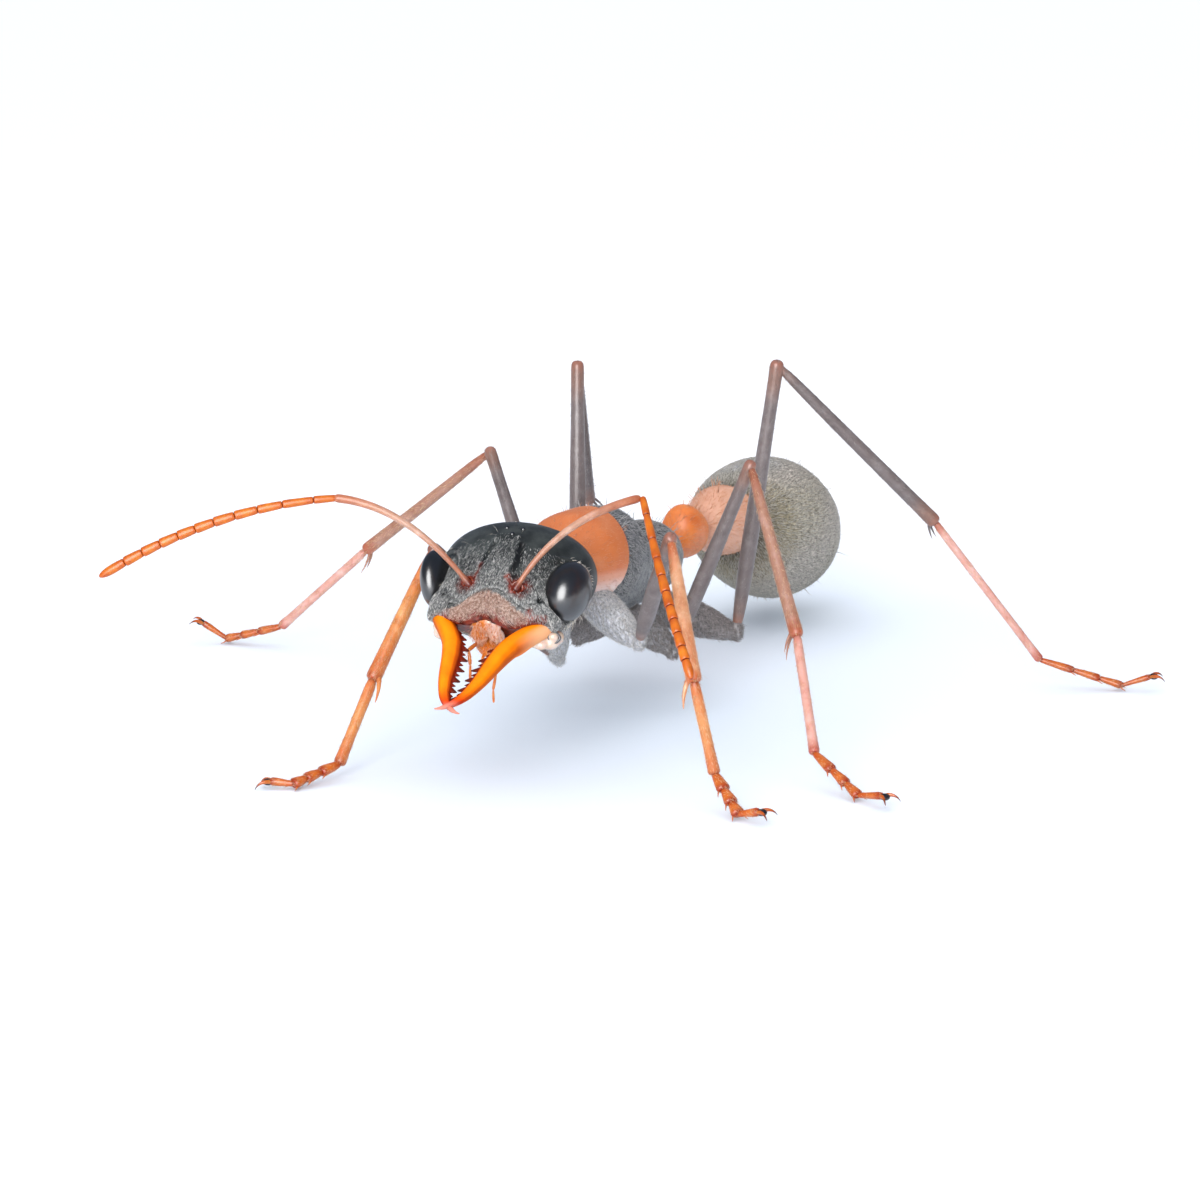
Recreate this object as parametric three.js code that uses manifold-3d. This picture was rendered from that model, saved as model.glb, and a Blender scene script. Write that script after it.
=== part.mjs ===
// A bull ant worker standing on six feet, at its real size, in millimetres.
// It faces -Y, its own left side is +X, and its feet stand on z = 0.
import * as THREE from 'three';
import { mergeVertices } from 'three/addons/utils/BufferGeometryUtils.js';
import Module from 'manifold-3d';

const wasm = await Module();
wasm.setup();

// Driving dimensions.
const gap = 0.05; // between a piece and the one that carries it
const limbRadius = 0.25; // thinnest leg and feeler
const limbSides = 10;
// How finely each body is faceted: around it and along it.
const skullFacets = { sides: 22, rings: 14 };
const trunkFacets = { sides: 20, rings: 18 };
const petioleFacets = { sides: 14, rings: 10 };
const postpetioleFacets = { sides: 16, rings: 8 };
const gasterFacets = { sides: 20, rings: 14 };
const feelerSteps = { scape: 7, funiculus: 8 };
const footHeight = 0.17; // a foot's middle line above the floor

const headPose = { place: [0.08, -1.06, 2.63], tilt: 11.4, roll: 1.1, turn: 9.7 };
const headStations = [
  { y: -1.16, half: 0, top: 0, low: 0, z: 0.0 },
  { y: -1.12, half: 0.62, top: 0.16, low: 0.3, z: 0.0 },
  { y: -0.85, half: 0.96, top: 0.46, low: 0.52, z: 0.0 },
  { y: -0.4, half: 1.05, top: 0.72, low: 0.68, z: 0.0 },
  { y: 0.1, half: 1.13, top: 0.86, low: 0.74, z: 0.0 },
  { y: 0.5, half: 1.15, top: 0.84, low: 0.7, z: 0.0 },
  { y: 0.88, half: 0.94, top: 0.62, low: 0.52, z: 0.0 },
  { y: 1.08, half: 0.6, top: 0.34, low: 0.34, z: 0.0 },
  { y: 1.14, half: 0, top: 0, low: 0, z: 0.0 },
];
const eye = { place: [0.98, -0.38, 0.2], radii: [0.31, 0.46, 0.46], lean: 11 };
const mandible = {
  // Each point is how far to the side and how far forward of the middle of the head.
  outer: [
    [0.98, 0.72],
    [0.9, 0.98],
    [0.6, 1.48],
    [0.42, 2.08],
    [0.24, 2.6],
    [0.08, 2.88],
    [-0.08, 2.98],
  ],
  inner: [
    [0.0, 2.8],
    [0.07, 2.58],
    [0.13, 2.3],
    [0.21, 1.9],
    [0.28, 1.5],
    [0.4, 1.15],
    [0.52, 0.72],
  ],
  hinge: [0.78, 0.95, -0.18], // side, forward and height of the hinge in the head
  thick: { base: 0.32, tip: 0.14 },
  length: 2.2,
  droop: 6.1,
  crossing: 2.6, // the left jaw passes above the right one
  closes: { left: 2.5, right: -1 },
  teeth: { count: 9, first: 0.14, last: 0.82, long: 0.1, short: 0.05 },
};
const mouth = {
  lip: { radii: [0.22, 0.11, 0.3], place: [0, -1.24, -0.2] },
  chin: { radii: [0.3, 0.36, 0.2], place: [0, -1.0, -0.46] },
};
// Start, pull point and end of each curve, in the head.
const feelers = {
  right: {
    scape: [[-0.38, -0.85, 0.5], [-1.2, -0.9, 1.64], [-2.2, -1.14, 1.74]],
    funiculus: [[-2.24, -1.15, 1.75], [-3.7, -1.85, 1.8], [-5.2, -2.64, 0.92]],
  },
  left: {
    scape: [[0.38, -0.83, 0.5], [0.82, -0.2, 1.31], [1.82, 0.6, 1.34]],
    funiculus: [[1.88, 0.52, 1.36], [2.69, -1.38, 0.77], [3.28, -2.22, -0.05]],
  },
};

const trunkStations = [
  { y: 0.1, half: 0, top: 0, low: 0, z: 2.62 },
  { y: 0.14, half: 0.3, top: 0.26, low: 0.26, z: 2.62 },
  { y: 0.45, half: 0.5, top: 0.52, low: 0.4, z: 2.6 },
  { y: 0.9, half: 0.76, top: 0.84, low: 0.58, z: 2.55 },
  { y: 1.35, half: 0.8, top: 0.95, low: 0.72, z: 2.47 },
  { y: 1.9, half: 0.7, top: 0.94, low: 0.78, z: 2.38 },
  { y: 2.4, half: 0.6, top: 0.85, low: 0.76, z: 2.3 },
  { y: 2.88, half: 0.51, top: 0.58, low: 0.7, z: 2.2 },
  { y: 3.2, half: 0.52, top: 0.64, low: 0.64, z: 2.14 },
  { y: 3.5, half: 0.52, top: 0.63, low: 0.6, z: 2.11 },
  { y: 3.9, half: 0.48, top: 0.56, low: 0.52, z: 2.08 },
  { y: 4.22, half: 0.34, top: 0.36, low: 0.34, z: 2.06 },
  { y: 4.34, half: 0, top: 0, low: 0, z: 2.06 },
];
const pronotumEnd = { y: 1.4, z: 2.7, tilt: 28 }; // the seam leans forward as it goes down
const mesonotumEnd = { y: 2.9, z: 2.2, tilt: -6 };
const petioleStations = [
  { y: 4.4, half: 0, top: 0, low: 0, z: 2.04 },
  { y: 4.42, half: 0.2, top: 0.2, low: 0.2, z: 2.04 },
  { y: 4.62, half: 0.23, top: 0.24, low: 0.2, z: 2.08 },
  { y: 4.82, half: 0.3, top: 0.42, low: 0.34, z: 2.22 },
  { y: 5.04, half: 0.33, top: 0.44, low: 0.43, z: 2.26 },
  { y: 5.3, half: 0.31, top: 0.36, low: 0.4, z: 2.24 },
  { y: 5.54, half: 0.23, top: 0.22, low: 0.22, z: 2.2 },
  { y: 5.6, half: 0, top: 0, low: 0, z: 2.2 },
];
const postpetioleStations = [
  { y: 5.66, half: 0, top: 0, low: 0, z: 2.18 },
  { y: 5.69, half: 0.24, top: 0.24, low: 0.24, z: 2.18 },
  { y: 6.0, half: 0.42, top: 0.44, low: 0.44, z: 2.18 },
  { y: 6.35, half: 0.54, top: 0.55, low: 0.56, z: 2.17 },
  { y: 6.7, half: 0.58, top: 0.56, low: 0.58, z: 2.14 },
  { y: 6.86, half: 0.5, top: 0.48, low: 0.5, z: 2.1 },
  { y: 6.9, half: 0, top: 0, low: 0, z: 2.1 },
];
const gasterStations = [
  { y: 6.96, half: 0, top: 0, low: 0, z: 2.06 },
  { y: 7.0, half: 0.52, top: 0.48, low: 0.52, z: 2.05 },
  { y: 7.34, half: 0.95, top: 0.86, low: 0.94, z: 1.92 },
  { y: 7.92, half: 1.16, top: 1.12, low: 1.16, z: 1.76 },
  { y: 8.5, half: 1.2, top: 1.22, low: 1.2, z: 1.63 },
  { y: 9.1, half: 1.08, top: 1.12, low: 1.06, z: 1.52 },
  { y: 9.7, half: 0.77, top: 0.82, low: 0.74, z: 1.42 },
  { y: 10.25, half: 0.4, top: 0.42, low: 0.38, z: 1.34 },
  { y: 10.42, half: 0, top: 0, low: 0, z: 1.3 },
];
const gasterSeams = [{ y: 8.55, z: 1.63 }, { y: 9.4, z: 1.5 }, { y: 9.98, z: 1.4 }];
const gasterTilt = 12; // the hind body hangs down behind

const legLengths = {
  front: { femur: 2.9, tibia: 2.2, heel: 1.37, foot: 0.8, claw: 0.3 },
  middle: { femur: 3.25, tibia: 2.88, heel: 2.06, foot: 1.03, claw: 0.42 },
  hind: { femur: 4.35, tibia: 3.64, heel: 2.85, foot: 1.35, claw: 0.45 },
};
const hips = { front: [0.36, 0.95, 2.1], middle: [0.4, 2.3, 1.52], hind: [0.36, 3.45, 1.4] };
// Each direction is an angle back from straight out to the side, and a rise above level.
// The foot lies on the floor, so only its angle back is given.
const stance = {
  front_left: {
    side: 1,
    trochanter: [1.18, 0.88, 1.5],
    femur: [-52, 45],
    tibia: [-50.8, -51.6],
    heel: [28.7, -77.6],
    foot: -37.1,
    claw: -4.4,
  },
  front_right: {
    side: -1,
    trochanter: [0.36, 1.25, 1.0],
    femur: [-58.4, 42.6],
    tibia: [-79.7, -49.4],
    heel: [-85.2, -50.4],
    foot: -64.6,
    claw: -16.2,
  },
  middle_left: {
    side: 1,
    trochanter: [1.0, 2.48, 0.98],
    femur: [3.3, 67.7],
    tibia: [-44.2, -49.3],
    heel: [-57.5, -39.9],
    foot: -27,
    claw: -21.5,
  },
  middle_right: {
    side: -1,
    trochanter: [1.15, 2.5, 0.98],
    femur: [34.9, 52.8],
    tibia: [-4.3, -38.8],
    heel: [-9.9, -42.6],
    foot: -9.3,
    claw: -22.7,
  },
  hind_left: {
    side: 1,
    trochanter: [1.42, 3.93, 0.98],
    femur: [1.3, 81.6],
    tibia: [36.9, -44.8],
    heel: [30.5, -52.5],
    foot: 17.5,
    claw: 22.2,
  },
  hind_right: {
    side: -1,
    trochanter: [1.23, 3.67, 0.66],
    femur: [64, 82],
    tibia: [68, -48],
    heel: [69, -42],
    foot: 69,
    claw: 52,
  },
};
const widest = 0.45; // how far along a thigh it is thickest
const legRadii = { hip: 0.33, knee: 0.26, thigh: 0.27, shin: limbRadius, foot: limbRadius, claw: 0.22 };

// Materials.
const finish = (color, roughness) => new THREE.MeshStandardMaterial({ color, roughness, metalness: 0 });
const black = finish(0x2b2c2e, 0.5);
const eyeBlack = finish(0x101014, 0.12);
const orange = finish(0xd9691e, 0.35);
const jawOrange = finish(0xf08a10, 0.25);
const legOrange = finish(0xc8601c, 0.4);
const legGrey = finish(0x5a5054, 0.45);
const gasterGrey = finish(0x55564e, 0.5);

// Makes a closed geometry into a solid that can be cut and joined.
function solid(geometry) {
  const bare = geometry.clone();
  bare.deleteAttribute('normal');
  bare.deleteAttribute('uv');
  const merged = mergeVertices(bare, 1e-5);
  return new wasm.Manifold(new wasm.Mesh({
    numProp: 3,
    vertProperties: new Float32Array(merged.attributes.position.array),
    triVerts: new Uint32Array(merged.index.array),
  }));
}

function named(name, body, material) {
  const { vertProperties, triVerts } = body.getMesh();
  const geometry = new THREE.BufferGeometry();
  geometry.setAttribute('position', new THREE.BufferAttribute(new Float32Array(vertProperties), 3));
  geometry.setIndex(new THREE.BufferAttribute(new Uint32Array(triVerts), 1));
  geometry.computeVertexNormals();
  const mesh = new THREE.Mesh(geometry, material);
  mesh.name = name;
  return mesh;
}

// A ball drawn out along Y, whose half width, top and underside follow the stations.
// grow makes it larger all over, for cutting a neighbour clear of it.
function plate(stations, { sides, rings }, grow = 0) {
  const middle = new THREE.CatmullRomCurve3(stations.map((s) => new THREE.Vector3(0, s.y, s.z)));
  const size = new THREE.CatmullRomCurve3(stations.map((s) => new THREE.Vector3(s.half, s.top, s.low)));
  const geometry = new THREE.SphereGeometry(1, sides, rings);
  const places = geometry.attributes.position;
  const around = new THREE.Vector2();
  for (let i = 0; i < places.count; i += 1) {
    const height = THREE.MathUtils.clamp(places.getY(i), -1, 1);
    const along = Math.acos(-height) / Math.PI;
    around.set(places.getX(i), places.getZ(i));
    const atPole = Math.abs(height) > 0.9999;
    around.setLength(atPole ? 0 : 1);
    const centre = middle.getPoint(along);
    const reach = size.getPoint(along);
    const wide = Math.max(reach.x, 0) + grow;
    const tall = Math.max(around.y > 0 ? reach.y : reach.z, 0) + grow;
    const beyond = atPole ? Math.sign(height) * grow : 0;
    places.setXYZ(i, around.x * wide, centre.y + beyond, centre.z + around.y * tall);
  }
  return solid(geometry);
}

// A round limb from one point to another, with rounded ends.
function limb(from, to, { start, middle, end = start, grow = 0 }) {
  const a = new THREE.Vector3(...from);
  const b = new THREE.Vector3(...to);
  const length = a.distanceTo(b);
  const slant = Math.SQRT1_2;
  const first = start + grow;
  const last = end + grow;
  const outline = [
    new THREE.Vector2(0, -first),
    new THREE.Vector2(first * slant, -first * slant),
    new THREE.Vector2(first, 0),
    new THREE.Vector2(last, length),
    new THREE.Vector2(last * slant, length + last * slant),
    new THREE.Vector2(0, length + last),
  ];
  if (middle) outline.splice(3, 0, new THREE.Vector2(middle + grow, length * widest));
  const geometry = new THREE.LatheGeometry(outline, limbSides);
  const turn = new THREE.Quaternion().setFromUnitVectors(
    new THREE.Vector3(0, 1, 0),
    b.clone().sub(a).normalize(),
  );
  geometry.applyQuaternion(turn);
  geometry.translate(a.x, a.y, a.z);
  return solid(geometry);
}

// A round feeler along a smooth curve through a start, a pull point and an end.
function feeler(points, radius, steps) {
  const curve = new THREE.QuadraticBezierCurve3(...points.map((p) => new THREE.Vector3(...p)));
  const section = new THREE.Shape();
  section.absarc(0, 0, radius, 0, 2 * Math.PI);
  const geometry = new THREE.ExtrudeGeometry(section, {
    extrudePath: curve,
    steps,
    curveSegments: 4,
    bevelEnabled: false,
  });
  return solid(geometry);
}

// A block that fills everything behind (or in front of) a leaning seam across the body.
function beyondSeam({ y, z, tilt = 0 }, behind) {
  const reach = 20;
  const block = new THREE.BoxGeometry(reach, reach, reach);
  const shift = (reach - gap) / 2;
  block.translate(0, behind ? shift : -shift, 0);
  block.rotateX(THREE.MathUtils.degToRad(-tilt));
  block.translate(0, y, z);
  return solid(block);
}

function cutAt(body, seams) {
  const pieces = [];
  for (let i = 0; i <= seams.length; i += 1) {
    let piece = body;
    if (i > 0) piece = piece.subtract(beyondSeam(seams[i - 1], false));
    if (i < seams.length) piece = piece.subtract(beyondSeam(seams[i], true));
    pieces.push(piece);
  }
  return pieces;
}

// The jaw seen from above, with its row of teeth, tapering to a thin tip.
function mandibleSolid(side) {
  const { outer, inner, hinge, thick, length, droop, crossing, closes, teeth } = mandible;
  const outline = new THREE.SplineCurve(outer.map((p) => new THREE.Vector2(...p))).getPoints(14);
  const biting = new THREE.SplineCurve([outer.at(-1), ...inner].map((p) => new THREE.Vector2(...p)));
  const edge = [];
  for (let i = 0; i <= 2 * teeth.count; i += 1) {
    const along = teeth.last + ((teeth.first - teeth.last) * i) / (2 * teeth.count);
    const point = biting.getPoint(1 - along);
    const out = [0, teeth.long, 0, teeth.short][i % 4];
    edge.push(new THREE.Vector2(point.x - out, point.y));
  }
  edge.push(new THREE.Vector2(...inner.at(-1)));
  const shape = new THREE.Shape([...outline, ...edge]);
  const geometry = new THREE.ExtrudeGeometry(shape, { depth: 1, steps: 1, bevelEnabled: false });
  const places = geometry.attributes.position;
  for (let i = 0; i < places.count; i += 1) {
    const forward = places.getY(i) - hinge[1];
    const along = THREE.MathUtils.clamp(forward / length, 0, 1);
    const thickness = THREE.MathUtils.lerp(thick.base, thick.tip, along);
    places.setXYZ(i, places.getX(i) - hinge[0], forward, (places.getZ(i) - 0.5) * thickness);
  }
  geometry.rotateZ(THREE.MathUtils.degToRad(side > 0 ? closes.left : closes.right));
  geometry.rotateX(THREE.MathUtils.degToRad(side * crossing - droop));
  geometry.translate(...hinge);
  geometry.applyMatrix4(new THREE.Matrix4().makeScale(side, -1, 1));
  if (side > 0) reverseFaces(geometry);
  return solid(geometry);
}

function reverseFaces(geometry) {
  const places = geometry.attributes.position;
  for (let i = 0; i < places.count; i += 3) {
    const a = new THREE.Vector3().fromBufferAttribute(places, i);
    const c = new THREE.Vector3().fromBufferAttribute(places, i + 2);
    places.setXYZ(i, c.x, c.y, c.z);
    places.setXYZ(i + 2, a.x, a.y, a.z);
  }
}

function eyeSolid(side) {
  const geometry = new THREE.SphereGeometry(1, 14, 10);
  geometry.scale(...eye.radii);
  geometry.rotateY(THREE.MathUtils.degToRad(side * eye.lean));
  geometry.translate(side * eye.place[0], eye.place[1], eye.place[2]);
  return solid(geometry);
}

// The lip between the jaws, and the chin under it.
function mouthSolid() {
  const lump = ({ radii, place }) => {
    const geometry = new THREE.SphereGeometry(1, 10, 6);
    geometry.scale(...radii);
    geometry.translate(...place);
    return solid(geometry);
  };
  return lump(mouth.lip).add(lump(mouth.chin));
}

function buildHead() {
  const head = new THREE.Group();
  const { place, tilt, roll, turn } = headPose;
  const degrees = THREE.MathUtils.degToRad;
  head.position.set(...place);
  head.rotation.set(degrees(tilt), degrees(roll), degrees(turn), 'ZXY');
  const skull = plate(headStations, skullFacets);
  const clear = plate(headStations, skullFacets, gap);
  head.add(named('head', skull, black));
  for (const [name, side] of [['left', 1], ['right', -1]]) {
    head.add(named(`eye_${name}`, eyeSolid(side).subtract(clear), eyeBlack));
    head.add(named(`mandible_${name}`, mandibleSolid(side).subtract(clear), jawOrange));
    const { scape, funiculus } = feelers[name];
    const shaft = feeler(scape, limbRadius, feelerSteps.scape).subtract(clear);
    const elbow = limb(scape[2], scape[2], { start: limbRadius, grow: gap });
    head.add(named(`scape_${name}`, shaft.subtract(elbow), orange));
    const whip = feeler(funiculus, limbRadius, feelerSteps.funiculus);
    head.add(named(`funiculus_${name}`, whip, orange));
  }
  head.add(named('mouthparts', mouthSolid().subtract(clear), orange));
  return head;
}

function buildTrunk(ant, head) {
  const skull = plate(headStations, skullFacets, gap).getMesh();
  const around = new THREE.BufferGeometry();
  around.setAttribute('position', new THREE.BufferAttribute(new Float32Array(skull.vertProperties), 3));
  around.setIndex(new THREE.BufferAttribute(new Uint32Array(skull.triVerts), 1));
  head.updateMatrix();
  around.applyMatrix4(head.matrix);
  const trunk = plate(trunkStations, trunkFacets).subtract(solid(around));
  const [pronotum, mesonotum, propodeum] = cutAt(trunk, [pronotumEnd, mesonotumEnd]);
  ant.add(named('pronotum', pronotum, orange));
  ant.add(named('mesonotum', mesonotum, black));
  ant.add(named('propodeum', propodeum, black));
  ant.add(named('petiole', plate(petioleStations, petioleFacets), orange));
  ant.add(named('postpetiole', plate(postpetioleStations, postpetioleFacets), orange));
  const gaster = plate(gasterStations, gasterFacets);
  const seams = gasterSeams.map((seam) => ({ ...seam, tilt: gasterTilt }));
  cutAt(gaster, seams).forEach((piece, i) => ant.add(named(`gaster_${i + 1}`, piece, gasterGrey)));
}

// The point a given length away, in a direction given by its two angles.
function step(from, side, [back, rise], length) {
  const degrees = THREE.MathUtils.degToRad;
  const level = length * Math.cos(degrees(rise));
  return [
    from[0] + side * level * Math.cos(degrees(back)),
    from[1] + level * Math.sin(degrees(back)),
    from[2] + length * Math.sin(degrees(rise)),
  ];
}

function legJoints(name) {
  const pose = stance[name];
  const pair = name.split('_')[0];
  const lengths = legLengths[pair];
  const mirror = ([x, y, z]) => [pose.side * x, y, z];
  const hip = mirror(hips[pair]);
  const trochanter = mirror(pose.trochanter);
  const knee = step(trochanter, pose.side, pose.femur, lengths.femur);
  const ankle = step(knee, pose.side, pose.tibia, lengths.tibia);
  const heel = step(ankle, pose.side, pose.heel, lengths.heel);
  const drop = THREE.MathUtils.radToDeg(Math.asin((footHeight - heel[2]) / lengths.foot));
  const toe = step(heel, pose.side, [pose.foot, drop], lengths.foot);
  const claw = step(toe, pose.side, [pose.claw, 0], lengths.claw);
  return { hip, trochanter, knee, ankle, heel, toe, claw };
}

function buildLeg(ant, name, trunkClear, floor) {
  const { hip, trochanter, knee, ankle, heel, toe, claw } = legJoints(name);
  const { hip: hipRadius, knee: kneeRadius, thigh, shin, foot, claw: clawRadius } = legRadii;
  const coxa = { start: hipRadius, end: kneeRadius };
  const femur = { start: kneeRadius, middle: thigh, end: kneeRadius };
  const tibia = { start: shin };
  const heelShape = { start: shin };
  const clearOf = (from, to, shape) => limb(from, to, { ...shape, grow: gap });
  const pieces = {
    coxa: limb(hip, trochanter, coxa).subtract(trunkClear),
    femur: limb(trochanter, knee, femur).subtract(clearOf(hip, trochanter, coxa)),
    tibia: limb(knee, ankle, tibia).subtract(clearOf(trochanter, knee, femur)),
    heel: limb(ankle, heel, heelShape).subtract(clearOf(knee, ankle, tibia)),
    foot: limb(heel, toe, { start: foot, end: clawRadius })
      .add(limb(toe, claw, { start: clawRadius }))
      .subtract(clearOf(ankle, heel, heelShape)),
  };
  const darkThigh = new Set(['coxa', 'femur']);
  const isHind = name.startsWith('hind');
  for (const [part, body] of Object.entries(pieces)) {
    const dark = darkThigh.has(part) || (isHind && part === 'tibia');
    ant.add(named(`${part}_${name}`, body.subtract(floor), dark ? legGrey : legOrange));
  }
}

const ant = new THREE.Group();
const head = buildHead();
ant.add(head);
buildTrunk(ant, head);
const floorBlock = new THREE.BoxGeometry(60, 60, 10);
floorBlock.translate(0, 0, -5);
const floor = solid(floorBlock);
const trunkClear = plate(trunkStations, trunkFacets, gap);
for (const name of Object.keys(stance)) buildLeg(ant, name, trunkClear, floor);

// The origin is on the floor, under the middle of the ant's box.
ant.updateMatrixWorld(true);
const centre = new THREE.Box3().setFromObject(ant).getCenter(new THREE.Vector3());
ant.position.set(-centre.x, -centre.y, 0);

export default ant;
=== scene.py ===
import math

import bpy
import numpy as np
from mathutils import Matrix, Vector


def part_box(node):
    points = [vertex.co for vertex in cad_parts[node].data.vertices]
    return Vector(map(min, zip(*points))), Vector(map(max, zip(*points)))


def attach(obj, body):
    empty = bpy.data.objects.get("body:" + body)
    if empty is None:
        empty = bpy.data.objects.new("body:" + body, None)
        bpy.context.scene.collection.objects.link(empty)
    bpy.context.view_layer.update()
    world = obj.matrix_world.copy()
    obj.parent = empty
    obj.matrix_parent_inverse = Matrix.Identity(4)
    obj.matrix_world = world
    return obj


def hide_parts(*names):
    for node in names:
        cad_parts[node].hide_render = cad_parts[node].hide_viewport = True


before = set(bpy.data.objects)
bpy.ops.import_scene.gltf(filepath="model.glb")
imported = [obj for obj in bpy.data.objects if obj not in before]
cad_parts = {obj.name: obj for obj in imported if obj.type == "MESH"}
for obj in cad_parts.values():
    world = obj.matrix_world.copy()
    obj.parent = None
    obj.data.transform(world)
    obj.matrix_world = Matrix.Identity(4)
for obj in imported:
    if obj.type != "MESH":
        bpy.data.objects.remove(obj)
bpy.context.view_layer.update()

mm = 0.001
petioleLow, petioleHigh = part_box("petiole")
# The neck is the zero of every body measure: under it on the floor, x to the ant's left, y to its tail.
neck = Vector(((petioleLow.x + petioleHigh.x) / 2, petioleLow.y - 4.4 * mm, 0))
turnUp = Matrix.Rotation(math.radians(-90), 4, "X")


def onBody(x, y, z):
    return neck + Vector((x, y, z)) * mm


def mirrored(side):
    return Matrix.Diagonal((side, 1, 1, 1))


def shifted(x, y, z):
    return Matrix.Translation(Vector((x, y, z)) * mm)


def deselect():
    if bpy.context.object and bpy.context.object.mode != "OBJECT":
        bpy.ops.object.mode_set(mode="OBJECT")
    bpy.ops.object.select_all(action="DESELECT")


def choose(piece):
    deselect()
    piece.select_set(True)
    bpy.context.view_layer.objects.active = piece


def applyModifier(piece, kind, **settings):
    choose(piece)
    modifier = piece.modifiers.new(kind.lower(), kind)
    for key, value in settings.items():
        setattr(modifier, key, value)
    bpy.ops.object.modifier_apply(modifier=modifier.name)


def smooth(piece, levels):
    if levels:
        applyModifier(piece, "SUBSURF", levels=levels, render_levels=levels)
    choose(piece)
    bpy.ops.object.shade_smooth()


def faceOut(piece):
    choose(piece)
    bpy.ops.object.mode_set(mode="EDIT")
    bpy.ops.mesh.select_all(action="SELECT")
    bpy.ops.mesh.normals_make_consistent(inside=False)
    bpy.ops.object.mode_set(mode="OBJECT")


def applyPlace(piece):
    choose(piece)
    bpy.ops.object.transform_apply(location=True, rotation=True, scale=True)


def placeBy(piece, matrix):
    piece.matrix_world = matrix
    applyPlace(piece)
    if matrix.to_3x3().determinant() < 0:
        faceOut(piece)
    return piece


def copyOf(piece, name):
    choose(piece)
    bpy.ops.object.duplicate(linked=False)
    twin = bpy.context.object
    twin.name = name
    return twin


def joinAll(pieces, name):
    deselect()
    for piece in pieces:
        piece.select_set(True)
    bpy.context.view_layer.objects.active = pieces[0]
    if len(pieces) > 1:
        bpy.ops.object.join()
    joined = bpy.context.object
    joined.name = name
    return joined


def discard(*pieces):
    for piece in pieces:
        bpy.data.objects.remove(piece)


def points(piece):
    flat = np.empty(len(piece.data.vertices) * 3, np.float32)
    piece.data.vertices.foreach_get("co", flat)
    return flat.reshape(-1, 3).astype(float)


def normals(piece):
    flat = np.empty(len(piece.data.vertices) * 3, np.float32)
    piece.data.vertex_normals.foreach_get("vector", flat)
    return flat.reshape(-1, 3).astype(float)


def setPoints(piece, places):
    piece.data.vertices.foreach_set("co", np.asarray(places, np.float32).ravel())
    piece.data.update()


def note(piece, name, values):
    attribute = piece.data.attributes.get(name) or piece.data.attributes.new(name, "FLOAT", "POINT")
    attribute.data.foreach_set("value", np.asarray(values, np.float32))


def noted(piece, name):
    values = np.empty(len(piece.data.vertices), np.float32)
    piece.data.attributes[name].data.foreach_get("value", values)
    return values.astype(float)


# Remembers how far up (0 to 1) and how far round (0 to 1) each point of an upright piece is.
def noteShape(piece, axis=2):
    places = points(piece)
    rise = places[:, axis]
    first, second = [places[:, k] for k in range(3) if k != axis]
    note(piece, "along", (rise - rise.min()) / (rise.max() - rise.min()))
    note(piece, "turn", np.arctan2(second - second.mean(), first - first.mean()) / (2 * math.pi) + 0.5)


# A closed tube drawn up from a disc. Each ring: height, half width, half depth, shift x, shift y, in mm.
# A round ring is its height and its half width alone.
def growTube(name, rings, sides=12, rounds=2):
    rings = [(ring[0], ring[1], ring[1]) if len(ring) == 2 else tuple(ring) for ring in rings]
    rings = [ring + (0,) * (5 - len(ring)) for ring in rings]
    height, wide, deep, x, y = rings[0]
    deselect()
    bpy.ops.mesh.primitive_circle_add(vertices=sides, radius=wide * mm, fill_type="NGON")
    piece = bpy.context.object
    piece.name = name
    bpy.ops.object.mode_set(mode="EDIT")
    bpy.ops.transform.resize(value=(1, deep / wide, 1), center_override=(0, 0, 0))
    bpy.ops.transform.translate(value=(x * mm, y * mm, height * mm))
    for before, ring in zip(rings, rings[1:]):
        step = (ring[3] - before[3], ring[4] - before[4], ring[0] - before[0])
        bpy.ops.mesh.extrude_region_move(TRANSFORM_OT_translate={"value": [s * mm for s in step]})
        bpy.ops.transform.resize(value=(ring[1] / before[1], ring[2] / before[2], 1),
                                 center_override=(ring[3] * mm, ring[4] * mm, ring[0] * mm))
    bpy.ops.mesh.select_all(action="SELECT")
    bpy.ops.mesh.normals_make_consistent(inside=False)
    bpy.ops.object.mode_set(mode="OBJECT")
    smooth(piece, rounds)
    noteShape(piece)
    return piece


# Rings between the named stations, on smooth curves through them.
def between(stations, count):
    table = np.array(stations, float)
    ends = np.vstack([2 * table[0] - table[1], table, 2 * table[-1] - table[-2]])
    rings = []
    for t in np.linspace(0, len(table) - 1, count):
        k = min(int(t), len(table) - 2)
        u = t - k
        a, b, c, d = ends[k:k + 4]
        row = 0.5 * (2 * b + (c - a) * u + (2 * a - 5 * b + 4 * c - d) * u * u
                     + (3 * b - a - 3 * c + d) * u ** 3)
        row[1:3] = np.maximum(row[1:3], 0.02)
        rings.append(tuple(row))
    return rings


# A body plate. Each station: y, height of its middle, half width, top above and bottom below that middle.
def growPlate(name, stations, sides=32, count=24, rounds=1):
    rings = [(y, half, (top + low) / 2, 0, -(z + (top - low) / 2)) for y, z, half, top, low in stations]
    piece = growTube(name, between(rings, count), sides, rounds)
    return placeBy(piece, turnUp)


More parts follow.
